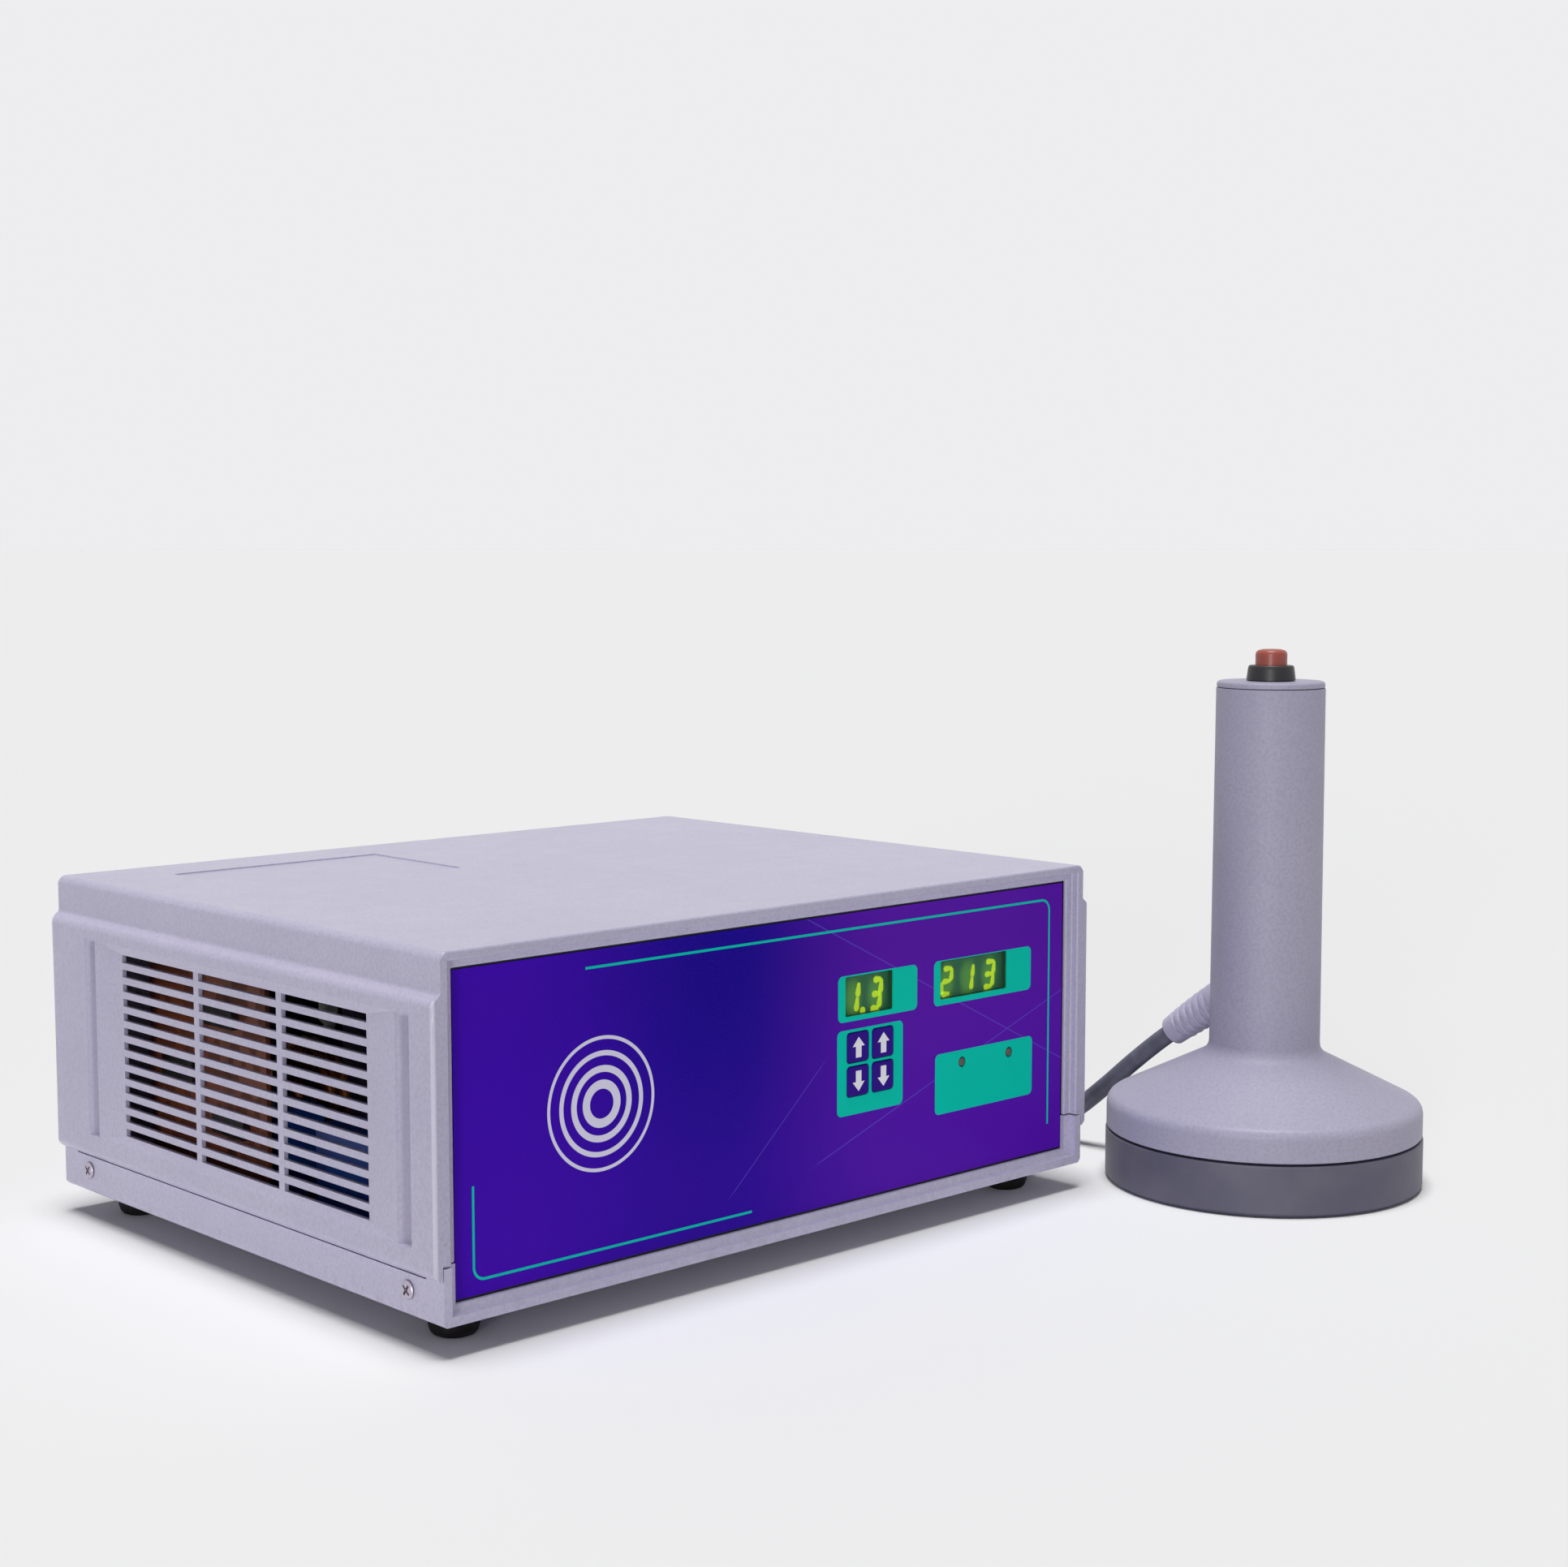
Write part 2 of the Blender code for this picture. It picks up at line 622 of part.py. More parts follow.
def make_top_cover(parent, finish):
    half = cover_section()
    inner = [(-INNER_X, CEILING_Z), (INNER_X, CEILING_Z)]
    outline = half + list(reversed([(-x, z) for x, z in half])) + inner
    cover = prism("top_cover", outline, 1, FRONT_Y, REAR_Y, parent, finish)
    for sign in (1, -1):
        combine(cover, side_pocket(parent, sign))
        end = "rear" if sign > 0 else "front"
        ledge = (RIM_DEPTH, LEDGE_THICK, LEDGE_SIDE, LEDGE_HIGH, sign)
        keeper = (KEEPER_SETBACK, KEEPER_THICK, LEDGE_SIDE, LEDGE_HIGH, sign)
        join(cover, panel_ribs("cover_ledge_" + end, parent, *ledge))
        join(cover, panel_ribs("cover_keeper_" + end, parent, *keeper))
    join(cover, cover_lugs(parent))
    for sign in (1, -1):
        combine(cover, grille_recess(parent, sign))
        combine(cover, flutes(parent, sign))
    combine(cover, grille_slots(parent))
    combine(cover, corner_notches(parent))
    field_x = (-SIDE_X + FIELD_LEFT, -SIDE_X + FIELD_LEFT + FIELD_LENGTH)
    field_y = (REAR_Y - FIELD_REAR - FIELD_WIDTH, REAR_Y - FIELD_REAR)
    field_z = (HOUSING_HEIGHT - FIELD_DEPTH, HOUSING_HEIGHT + PAST)
    combine(cover, box("top_field_cutter", field_x, field_y, field_z, parent))
    combine(cover, screw_holes("lug_hole_cutter", parent, SCREW_SHANK_RADIUS + GAP, 0.012))
    return cover


def screw_holes(name, parent, radius, depth):
    bm = bmesh.new()
    for side, y in screw_places():
        x = sorted((side * (SIDE_X + PAST), side * (SIDE_X - depth)))
        add_cross_cylinder(bm, radius, x, y, SCREW_HEIGHT)
    return finish_mesh(name, bm, parent)


def corner_notches(parent):
    """Where the tray's corner posts stand up into the cover."""
    bm = bmesh.new()
    for side in (1, -1):
        x = sorted((side * (INNER_X - LEDGE_SIDE - PAST), side * (SIDE_X + GAP)))
        for end in (1, -1):
            y = sorted((end * (REAR_Y + PAST), end * (REAR_Y - POST_DEPTH - GAP)))
            add_box(bm, x, y, (SEAM_Z - PAST, SEAM_Z + SEAM_STEP + GAP))
    return finish_mesh("corner_notch_cutter", bm, parent)


def add_tray_end(bm, end):
    """Ledge, keeper and corner posts at one end of the tray."""
    sink = WALL / 2
    for setback, thick in ((RIM_DEPTH, LEDGE_THICK), (KEEPER_SETBACK, KEEPER_THICK)):
        y = sorted((end * (REAR_Y - setback), end * (REAR_Y - setback - thick)))
        top = SEAM_Z + SEAM_STEP
        outer = INNER_X + sink
        inner = INNER_X - LEDGE_SIDE
        floor = WALL + LEDGE_HIGH
        outline = [(-outer, sink), (outer, sink), (outer, top), (inner, top), (inner, floor)]
        outline += [(-inner, floor), (-inner, top), (-outer, top)]
        add_prism(bm, outline, 1, y[0], y[1])


def make_bottom_tray(parent, finish):
    inner = (INNER_X, WALL)
    outline = [(-SIDE_X + 0.001, 0), (SIDE_X - 0.001, 0), (SIDE_X, 0.001), (SIDE_X, SEAM_Z), (inner[0], SEAM_Z)]
    outline += [inner, (-inner[0], inner[1]), (-inner[0], SEAM_Z), (-SIDE_X, SEAM_Z), (-SIDE_X, 0.001)]
    tray = prism("bottom_tray", outline, 1, FRONT_Y, REAR_Y, parent, finish)
    posts = bmesh.new()
    for side in (1, -1):
        x = sorted((side * INNER_X, side * SIDE_X))
        for end in (1, -1):
            y = sorted((end * REAR_Y, end * (REAR_Y - POST_DEPTH)))
            add_box(posts, x, y, (SEAM_Z - PAST, SEAM_Z + SEAM_STEP))
    join(tray, finish_mesh("tray_posts", posts, parent))
    for end, word in ((1, "rear"), (-1, "front")):
        ribs = bmesh.new()
        add_tray_end(ribs, end)
        join(tray, finish_mesh("tray_ribs_" + word, ribs, parent))
    bosses = bmesh.new()
    for x, y in board_corners():
        ring = arc((x, y), BOSS_RADIUS, 0, 330, 11)
        add_prism(bosses, ring, 2, WALL / 2, POWER_BOARD_Z - GAP)
    join(tray, finish_mesh("board_bosses", bosses, parent))
    combine(tray, screw_holes("tray_hole_cutter", parent, SCREW_SHANK_RADIUS + GAP, WALL + PAST))
    return tray


def board_corners():
    """Middles of the bosses under the power board."""
    xs = (POWER_BOARD_X[0] + BOSS_INSET, POWER_BOARD_X[1] - BOSS_INSET)
    ys = (POWER_BOARD_Y[0] + BOSS_INSET, POWER_BOARD_Y[1] - BOSS_INSET)
    return [(x, y) for x in xs for y in ys]


def make_feet(parent, finish):
    """Domed rubber feet, flat where they stand."""
    edge = FOOT_RADIUS - FOOT_FLAT_RADIUS
    profile = [(FOOT_RADIUS, -GAP)]
    profile += [(FOOT_RADIUS - 0.0003, -FOOT_HEIGHT + edge * 1.6)]
    profile += [(r, z) for r, z in arc((FOOT_FLAT_RADIUS, -FOOT_HEIGHT + edge), edge * 0.96, -15, -80, 3)]
    profile += [(FOOT_FLAT_RADIUS, -FOOT_HEIGHT)]
    for side, side_word in ((-1, "left"), (1, "right")):
        for end, end_word in ((-1, "front"), (1, "rear")):
            place = (side * (SIDE_X - FOOT_SIDE_INSET), end * (REAR_Y - FOOT_END_INSET), 0)
            turned(f"foot_{end_word}_{side_word}", profile, 20, parent, finish, place)


def make_case_screws(parent, finish):
    """Dome-headed cross-recess screws, lying along X with the head outside."""
    shank = INNER_X - GAP - LUG_THICK + 0.001
    for side, y in screw_places():
        face = SIDE_X + GAP
        sphere = SCREW_HEAD_HEIGHT
        profile = [(SCREW_SHANK_RADIUS, shank - face), (SCREW_SHANK_RADIUS, 0), (SCREW_HEAD_RADIUS, 0)]
        profile += [(SCREW_HEAD_RADIUS, sphere * 0.35), (SCREW_HEAD_RADIUS * 0.86, sphere * 0.78)]
        profile += [(SCREW_HEAD_RADIUS * 0.5, sphere)]
        word = ("front" if y < 0 else "rear") + ("_right" if side > 0 else "_left")
        screw = turned("case_screw_" + word, profile, 16, parent, finish, (side * face, y, SCREW_HEIGHT))
        screw.rotation_euler = (0, side * math.pi / 2, 0)
        arm = SCREW_HEAD_RADIUS * 0.62
        half = SCREW_HEAD_RADIUS * 0.14
        cross = [(arm, -half), (arm, half), (half, half), (half, arm), (-half, arm), (-half, half)]
        cross += [(-arm, half), (-arm, -half), (-half, -half), (-half, -arm), (half, -arm), (half, -half)]
        low = SCREW_HEAD_HEIGHT * 0.3
        recess = prism("recess_cutter_" + word, cross, 2, low, SCREW_HEAD_HEIGHT + PAST, parent, None)
        recess.location = screw.location
        recess.rotation_euler = screw.rotation_euler
        combine(screw, recess)


def panel_outline(clearance):
    """The end panel inside the shells, as (x, z)."""
    x = INNER_X - clearance
    low = WALL + clearance
    high = CEILING_Z - clearance
    return [(-x, low), (x, low), (x, high), (-x, high)]


def key_places():
    """(name, x, z) of the four keys."""
    found = []
    for column, what in ((-1, "time"), (1, "voltage")):
        for row, way in ((1, "up"), (-1, "down")):
            x = KEY_COLUMN_X + column * KEY_PITCH_X / 2
            z = KEY_ROW_Z + row * KEY_PITCH_Z / 2
            found.append((f"{what}_{way}_key", x, z))
    return found


def front_cutouts(name, parent, grow, front, back):
    """Openings for the windows, keys and lamps, each grown by a clearance."""
    bm = bmesh.new()
    radius = PANEL_CUT_RADIUS
    for x, width in ((TIME_WINDOW_X, TIME_WINDOW_WIDTH), (VOLT_WINDOW_X, VOLT_WINDOW_WIDTH)):
        size = (width + 2 * grow, WINDOW_HEIGHT + 2 * grow)
        add_prism(bm, rounded(*size, radius, 2, (x, WINDOW_CENTRE_Z)), 1, front, back)
    for _, x, z in key_places():
        size = KEY_SIZE + 2 * grow
        add_prism(bm, rounded(size, size, KEY_CORNER + grow, 3, (x, z)), 1, front, back)
    for x in LAMP_X:
        add_prism(bm, arc((x, LAMP_Z), LAMP_RADIUS + grow, 0, 330, 11), 1, front, back)
    return finish_mesh(name, bm, parent)


def control_pegs():
    """Corners of the control board where the pegs of the front panel meet it."""
    xs = (CONTROL_BOARD_LEFT + CONTROL_PEG_INSET, CONTROL_BOARD_RIGHT - CONTROL_PEG_INSET)
    zs = (CONTROL_BOARD_LOW + CONTROL_PEG_INSET, CONTROL_BOARD_HIGH - CONTROL_PEG_INSET)
    return [(x, z) for x in xs for z in zs]


def make_front_panel(parent, plate_finish, film_finish):
    face = FRONT_Y + PANEL_SETBACK
    plate = prism("front_plate", panel_outline(GAP), 1, face, face + PANEL_THICK, parent, plate_finish)
    pegs = bmesh.new()
    board = FRONT_Y + PLATE_BACK + CONTROL_BOARD_SETBACK
    for x, z in control_pegs():
        ring = arc((x, z), CONTROL_PEG_RADIUS, 0, 330, 11)
        add_prism(pegs, ring, 1, face + PANEL_THICK / 2, board - GAP)
    join(plate, finish_mesh("plate_pegs", pegs, parent))
    front = face - PAST
    back = face + PANEL_THICK + PAST
    combine(plate, front_cutouts("plate_cutter", parent, GAP, front, back))
    x = INNER_X - LEDGE_SIDE - OVERLAY_INSET
    low = WALL + LEDGE_HIGH + OVERLAY_INSET
    high = CEILING_Z - LEDGE_HIGH - OVERLAY_INSET
    film = FRONT_Y + OVERLAY_SETBACK
    outline = [(-x, low), (x, low), (x, high), (-x, high)]
    overlay = prism("panel_overlay", outline, 1, film, film + OVERLAY_THICK, parent, film_finish)
    combine(overlay, front_cutouts("overlay_cutter", parent, GAP, film - PAST, film + PAST))


def make_windows(parent, finish):
    """Tinted windows that fill the openings of the overlay and the plate."""
    front = FRONT_Y + OVERLAY_SETBACK
    back = FRONT_Y + PLATE_BACK
    sizes = (("time_window", TIME_WINDOW_X, TIME_WINDOW_WIDTH), ("voltage_window", VOLT_WINDOW_X, VOLT_WINDOW_WIDTH))
    for name, x, width in sizes:
        outline = rounded(width, WINDOW_HEIGHT, PANEL_CUT_RADIUS, 2, (x, WINDOW_CENTRE_Z))
        prism(name, outline, 1, front, back, parent, finish)


def make_displays(parent, finish):
    """Digit modules on the control board, close behind their windows."""
    front = FRONT_Y + PLATE_BACK + DISPLAY_WINDOW_GAP - GAP * 3
    back = FRONT_Y + PLATE_BACK + CONTROL_BOARD_SETBACK - GAP
    sizes = (("time_display", TIME_WINDOW_X, TIME_WINDOW_WIDTH), ("voltage_display", VOLT_WINDOW_X, VOLT_WINDOW_WIDTH))
    for name, x, width in sizes:
        outline = rounded(width + PAST, WINDOW_HEIGHT + PAST, PANEL_CUT_RADIUS, 1, (x, WINDOW_CENTRE_Z))
        prism(name, outline, 1, front, back, parent, finish)


def make_lamps(parent, finish):
    """Domed indicator lamps through the panel, with their bodies on the control board."""
    board = PLATE_BACK + CONTROL_BOARD_SETBACK - GAP
    for name, x in zip(("ready_lamp", "heating_lamp"), LAMP_X):
        tip = OVERLAY_SETBACK - LAMP_PROUD
        profile = [(LAMP_RADIUS * 1.25, -board), (LAMP_RADIUS * 1.25, -PLATE_BACK - 2 * GAP)]
        profile += [(LAMP_RADIUS, -PLATE_BACK - 2 * GAP), (LAMP_RADIUS, -tip - 0.0008)]
        profile += [(LAMP_RADIUS * 0.8, -tip - 0.0003), (LAMP_RADIUS * 0.35, -tip)]
        lamp = turned(name, profile, 12, parent, finish, (x, FRONT_Y, LAMP_Z))
        lamp.rotation_euler = (math.pi / 2, 0, 0)


def make_keys(parent, finish):
    """Square key caps with a flange behind the panel and a stem to the switch. Each moves along +Y."""
    tip = OVERLAY_SETBACK - KEY_PROUD
    shoulder = PLATE_BACK + GAP
    stem_end = PLATE_BACK + CONTROL_BOARD_SETBACK - KEY_SWITCH_HEIGHT - KEY_TRAVEL - GAP
    edge = 0.0003
    sizes = [(KEY_SIZE - 2 * edge, tip, KEY_CORNER), (KEY_SIZE, tip + edge, KEY_CORNER)]
    sizes += [(KEY_SIZE, shoulder, KEY_CORNER)]
    flange = KEY_SIZE + 2 * KEY_FLANGE
    sizes += [(flange, shoulder, KEY_CORNER), (flange, shoulder + KEY_FLANGE_THICK, KEY_CORNER)]
    stem = 2 * KEY_STEM_RADIUS
    sizes += [(stem, shoulder + KEY_FLANGE_THICK, KEY_STEM_RADIUS * 0.95), (stem, stem_end, KEY_STEM_RADIUS * 0.95)]
    for name, x, z in key_places():
        rings = [[(px, y, pz) for px, pz in rounded(size, size, r, 3)] for size, y, r in sizes]
        loft(name, rings, parent, finish, (x, FRONT_Y, z))


def make_control_board(parent, finish):
    """Circuit board with four push switches under the keys."""
    front = FRONT_Y + PLATE_BACK + CONTROL_BOARD_SETBACK
    x = (CONTROL_BOARD_LEFT, CONTROL_BOARD_RIGHT)
    board = box("control_board", x, (front, front + BOARD_THICK), (CONTROL_BOARD_LOW, CONTROL_BOARD_HIGH), parent, finish)
    switches = bmesh.new()
    half = KEY_SWITCH_SIZE / 2
    for _, kx, kz in key_places():
        deep = (front - KEY_SWITCH_HEIGHT, front + BOARD_THICK / 2)
        add_box(switches, (kx - half, kx + half), deep, (kz - half, kz + half))
    join(board, finish_mesh("key_switches", switches, parent))
    return board


def add_ring_sector(bm, inner, outer, start, end, centre, y, steps):
    """Adds a slice of a flat ring that faces along Y."""
    outline = arc(centre, outer, start, end, steps) + arc(centre, inner, end, start, steps)
    add_prism(bm, outline, 1, y[0], y[1])


def fan_grille_cutter(parent, y):
    """Rings of curved slots between four spokes."""
    bm = bmesh.new()
    hub = FAN_HUB_RADIUS * 0.55
    pitch = (FAN_BORE_RADIUS - hub) / GRILLE_RINGS
    for ring in range(GRILLE_RINGS):
        inner = hub + ring * pitch + GRILLE_RING_WALL
        outer = hub + (ring + 1) * pitch
        for quarter in range(4):
            half = math.degrees(math.asin(GRILLE_SPOKE / 2 / inner))
            start = 90 * quarter + 45 + half
            add_ring_sector(bm, inner, outer, start, start + 90 - 2 * half, (FAN_X, FAN_Z), y, 5 + ring)
    return finish_mesh("fan_grille_cutter", bm, parent)


def make_rear_panel(parent, finish):
    face = REAR_Y - PANEL_SETBACK
    panel = prism("rear_panel", panel_outline(GAP), 1, face - PANEL_THICK, face, parent, finish)
    y = (face - PANEL_THICK - PAST, face + PAST)
    combine(panel, fan_grille_cutter(parent, y))
    bm = bmesh.new()
    switch = (SWITCH_WIDTH + 2 * GAP, SWITCH_TALL + 2 * GAP)
    add_prism(bm, rounded(*switch, 0.001, 2, (SWITCH_X, SWITCH_Z)), 1, *y)
    inlet = (INLET_WIDTH + 2 * INLET_WALL + 2 * GAP, INLET_TALL + 2 * INLET_WALL + 2 * GAP)
    add_prism(bm, rounded(*inlet, 0.002, 2, (INLET_X, INLET_Z)), 1, *y)
    add_prism(bm, arc((FUSE_X, FUSE_Z), FUSE_RADIUS + GAP, 0, 345, 23), 1, *y)
    add_prism(bm, arc((CABLE_OUT_X, CABLE_OUT_Z), BOOT_NECK_RADIUS + GAP, 0, 337.5, 15), 1, *y)
    combine(panel, finish_mesh("rear_cutter", bm, parent))
    return panel


def make_power_switch(parent, frame_finish, rocker_finish):
    """Snap-in rocker switch. The rocker turns about a level axis just inside the panel."""
    face = REAR_Y - PANEL_SETBACK + GAP
    outer = rounded(SWITCH_WIDTH + 2 * SWITCH_RIM, SWITCH_TALL + 2 * SWITCH_RIM, 0.0015, 2, (SWITCH_X, SWITCH_Z))
    body = prism("power_switch_frame", outer, 1, face, face + SWITCH_FLANGE_THICK, parent, frame_finish)
    neck = rounded(SWITCH_WIDTH, SWITCH_TALL, 0.001, 2, (SWITCH_X, SWITCH_Z))
    join(body, prism("switch_neck", neck, 1, face - SWITCH_DEPTH, face + GAP, parent))
    wall = 0.0012
    mouth = rounded(SWITCH_WIDTH - 2 * wall, SWITCH_TALL - 2 * wall, 0.0006, 2, (SWITCH_X, SWITCH_Z))
    combine(body, prism("switch_mouth", mouth, 1, face - 0.0095, face + SWITCH_FLANGE_THICK + PAST, parent))
    pivot = (SWITCH_X, face - 0.0010, SWITCH_Z)
    half_x = SWITCH_WIDTH / 2 - wall - ROCKER_CLEARANCE
    reach = (SWITCH_TALL / 2 - wall - ROCKER_CLEARANCE) * math.cos(ROCKER_TILT) - 0.0010
    proud = SWITCH_FLANGE_THICK + ROCKER_PROUD
    lift = reach * math.tan(ROCKER_BEND)
    outline = [(proud, 0), (proud + lift, reach), (-ROCKER_THICK + 0.0015, reach), (-ROCKER_THICK, 0)]
    outline += [(-ROCKER_THICK + 0.0015, -reach), (proud + lift, -reach)]
    rocker = prism("power_rocker", outline, 0, -half_x, half_x, parent, rocker_finish, pivot)
    rocker.rotation_euler = (ROCKER_TILT, 0, 0)
    return rocker


def make_mains_inlet(parent, finish):
    """Appliance inlet: a flanged box with three flat pins inside."""
    face = REAR_Y - PANEL_SETBACK + GAP
    centre = (INLET_X, INLET_Z)
    width = INLET_WIDTH + 2 * INLET_WALL
    tall = INLET_TALL + 2 * INLET_WALL
    flange = rounded(width + 2 * INLET_FLANGE, tall + 2 * INLET_FLANGE, 0.003, 2, centre)
    inlet = prism("mains_inlet", flange, 1, face, face + INLET_FLANGE_THICK, parent, finish)
    body = rounded(width, tall, 0.002, 2, centre)
    join(inlet, prism("inlet_body", body, 1, face - INLET_DEPTH - INLET_BACK, face + GAP, parent))
    x = INLET_WIDTH / 2
    z = INLET_TALL / 2
    mouth = [(-x, z), (-x, -z + INLET_CORNER), (-x + INLET_CORNER, -z), (x - INLET_CORNER, -z)]
    mouth += [(x, -z + INLET_CORNER), (x, z)]
    mouth = [(px + centre[0], pz + centre[1]) for px, pz in mouth]
    y = (face - INLET_DEPTH, face + INLET_FLANGE_THICK + PAST)
    combine(inlet, prism("inlet_mouth", mouth, 1, y[0], y[1], parent))
    pins = bmesh.new()
    for dx, dz in ((-PIN_SPACING, PIN_OFFSET), (PIN_SPACING, PIN_OFFSET), (0, -PIN_OFFSET)):
        px = (centre[0] + dx - PIN_WIDTH / 2, centre[0] + dx + PIN_WIDTH / 2)
        pz = (centre[1] + dz - PIN_TALL / 2, centre[1] + dz + PIN_TALL / 2)
        add_box(pins, px, (y[0] - INLET_BACK / 2, y[0] + PIN_LENGTH), pz)
    join(inlet, finish_mesh("inlet_pins", pins, parent))
    return inlet


def make_fuse_holder(parent, finish):
    """Round fuse holder with its finger cap. The cap is only taken out to change the fuse."""
    face = REAR_Y - PANEL_SETBACK + GAP
    bore = FUSE_CAP_RADIUS - 0.0012
    depth = 0.012
    profile = [(FUSE_RADIUS - 0.001, FUSE_DEPTH), (FUSE_RADIUS, FUSE_DEPTH - 0.001), (FUSE_RADIUS, 0)]
    profile += [(FUSE_FLANGE_RADIUS, 0), (FUSE_FLANGE_RADIUS - 0.0006, -FUSE_FLANGE_THICK)]
    profile += [(bore, -FUSE_FLANGE_THICK), (bore, depth)]
    holder = turned("fuse_holder", profile, 24, parent, finish, (FUSE_X, face, FUSE_Z))
    holder.rotation_euler = (math.pi / 2, 0, 0)
    low = FUSE_FLANGE_THICK + GAP
    rings = []
    sizes = ((bore - GAP, -depth + 2 * GAP, 0), (bore - GAP, low, 0), (FUSE_CAP_RADIUS, low, 1))
    sizes += ((FUSE_CAP_RADIUS, low + FUSE_CAP_PROUD - 0.0006, 1), (FUSE_CAP_RADIUS - 0.0008, low + FUSE_CAP_PROUD, 0))
    for radius, height, knurl in sizes:
        ring = circle(radius, height, 24)
        if knurl:
            ring = [(x * (0.95 if i % 2 else 1), y * (0.95 if i % 2 else 1), z) for i, (x, y, z) in enumerate(ring)]
        rings.append(ring)
    cap = loft("fuse_cap", rings, parent, finish, (FUSE_X, face, FUSE_Z))
    cap.rotation_euler = (-math.pi / 2, 0, 0)


def make_fan(parent, frame_finish, rotor_finish):
    """Square axial fan against the rear panel. The rotor turns on a stub of the motor cup."""
    rear = REAR_Y - PLATE_BACK - GAP
    front = rear - FAN_DEPTH
    centre = (FAN_X, FAN_Z)
    outline = rounded(FAN_SIZE, FAN_SIZE, FAN_CORNER_RADIUS, 3, centre)
    body = prism("fan_frame", outline, 1, front, rear, parent, frame_finish)
    ring = arc(centre, FAN_BORE_RADIUS, 0, 350, 35)
    combine(body, prism("fan_bore_cutter", ring, 1, front - PAST, rear + PAST, parent))
    cup = bmesh.new()
    add_prism(cup, arc(centre, FAN_HUB_RADIUS, 0, 345, 23), 1, front, front + FAN_CUP_DEPTH)
    join(body, finish_mesh("fan_motor_cup", cup, parent))
    for i in range(3):
        turn = math.radians(90 + 120 * i)
        along = Vector((math.cos(turn), math.sin(turn)))
        across = Vector((-along.y, along.x)) * FAN_STRUT / 2
        near = Vector(centre) + along * FAN_HUB_RADIUS * 0.7
        far = Vector(centre) + along * (FAN_BORE_RADIUS + 0.0007)
        strut = [near - across, far - across, far + across, near + across]
        joined = prism(f"fan_strut_{i}", [tuple(p) for p in strut], 1, front, front + FAN_STRUT, parent)
        join(body, joined)
    holes = bmesh.new()
    reach = FAN_SIZE / 2 - FAN_CORNER_RADIUS
    for sx in (1, -1):
        for sz in (1, -1):
            spot = (FAN_X + sx * reach, FAN_Z + sz * reach)
            add_prism(holes, arc(spot, 0.0018, 0, 324, 9), 1, front - PAST, rear + PAST)
    combine(body, finish_mesh("fan_hole_cutter", holes, parent))
    make_rotor(parent, rotor_finish, front + FAN_CUP_DEPTH + GAP, rear - 0.0015)


def make_rotor(parent, finish, front, rear):
    """Hub and swept blades, with the origin on the fan's axis."""
    depth = rear - front
    profile = [(FAN_HUB_RADIUS, 0), (FAN_HUB_RADIUS, depth - 0.001), (FAN_HUB_RADIUS - 0.001, depth)]
    hub = turned("fan_rotor", profile, 28, parent, finish, (FAN_X, front, FAN_Z))
    hub.rotation_euler = (-math.pi / 2, 0, 0)
    tip = FAN_BORE_RADIUS - FAN_TIP_CLEARANCE
    root = FAN_HUB_RADIUS - 0.0008
    stations = 4
    for blade in range(FAN_BLADES):
        rings = []
        for i in range(stations):
            share = i / (stations - 1)
            radius = root + (tip - root) * share
            lead = 2 * math.pi * blade / FAN_BLADES + BLADE_SWEEP * share
            trail = lead + BLADE_SPAN
            low = depth * (0.12 + 0.06 * share)
            high = depth * (0.90 - 0.10 * share)
            ring = []
            for turn, height in ((lead, low), (trail, high - BLADE_THICK), (trail, high), (lead, low + BLADE_THICK)):
                ring.append((radius * math.cos(turn), radius * math.sin(turn), height))
            rings.append(ring)
        vane = loft(f"fan_blade_{blade}", rings, parent, None, hub.location)
        vane.rotation_euler = hub.rotation_euler
        join(hub, vane)
    return hub


def driver_tabs():
    """Both ends in Y of each tab of the driver board."""
    rear = DRIVER_BOARD_REAR - DRIVER_TAB_INSET
    front = DRIVER_BOARD_REAR - DRIVER_BOARD_LENGTH + DRIVER_TAB_INSET
    return [(front, front + DRIVER_TAB_LENGTH), (rear - DRIVER_TAB_LENGTH, rear)]


def make_power_board(parent, finish):
    y = POWER_BOARD_Y
    z = (POWER_BOARD_Z, POWER_BOARD_Z + BOARD_THICK)
    board = box("power_board", POWER_BOARD_X, y, z, parent, finish)
    holes = bmesh.new()
    for x, py in board_corners():
        add_prism(holes, arc((x, py), 0.0016, 0, 324, 9), 2, z[0] - PAST, z[1] + PAST)
    slot_x = (DRIVER_BOARD_X - GAP, DRIVER_BOARD_X + BOARD_THICK + GAP)
    for front, rear in driver_tabs():
        add_box(holes, slot_x, (front - GAP, rear + GAP), (z[0] - PAST, z[1] + PAST))
    combine(board, finish_mesh("board_hole_cutter", holes, parent))
    return z[1] + GAP


def make_driver_board(parent, finish, base):
    """Upright board behind the slots of the left side. Its two tabs stand in slots of the power board."""
    rear = DRIVER_BOARD_REAR
    front = rear - DRIVER_BOARD_LENGTH
    foot = POWER_BOARD_Z - DRIVER_TAB_PAST
    outline = [(rear, base), (rear, base + DRIVER_BOARD_TALL), (front, base + DRIVER_BOARD_TALL), (front, base)]
    for tab_front, tab_rear in driver_tabs():
        outline += [(tab_front, base), (tab_front, foot), (tab_rear, foot), (tab_rear, base)]
    back = DRIVER_BOARD_X + BOARD_THICK
    board = prism("driver_board", outline, 0, DRIVER_BOARD_X, back, parent, finish)
    thick, long, tall = DRIVER_CHIP_SIZE
    chips = bmesh.new()
    for along, up in DRIVER_CHIPS:
        y = (front + along, front + along + long)
        z = (base + up, base + up + tall)
        add_box(chips, (DRIVER_BOARD_X - thick, DRIVER_BOARD_X + BOARD_THICK / 2), y, z)
    join(board, finish_mesh("driver_chips", chips, parent))


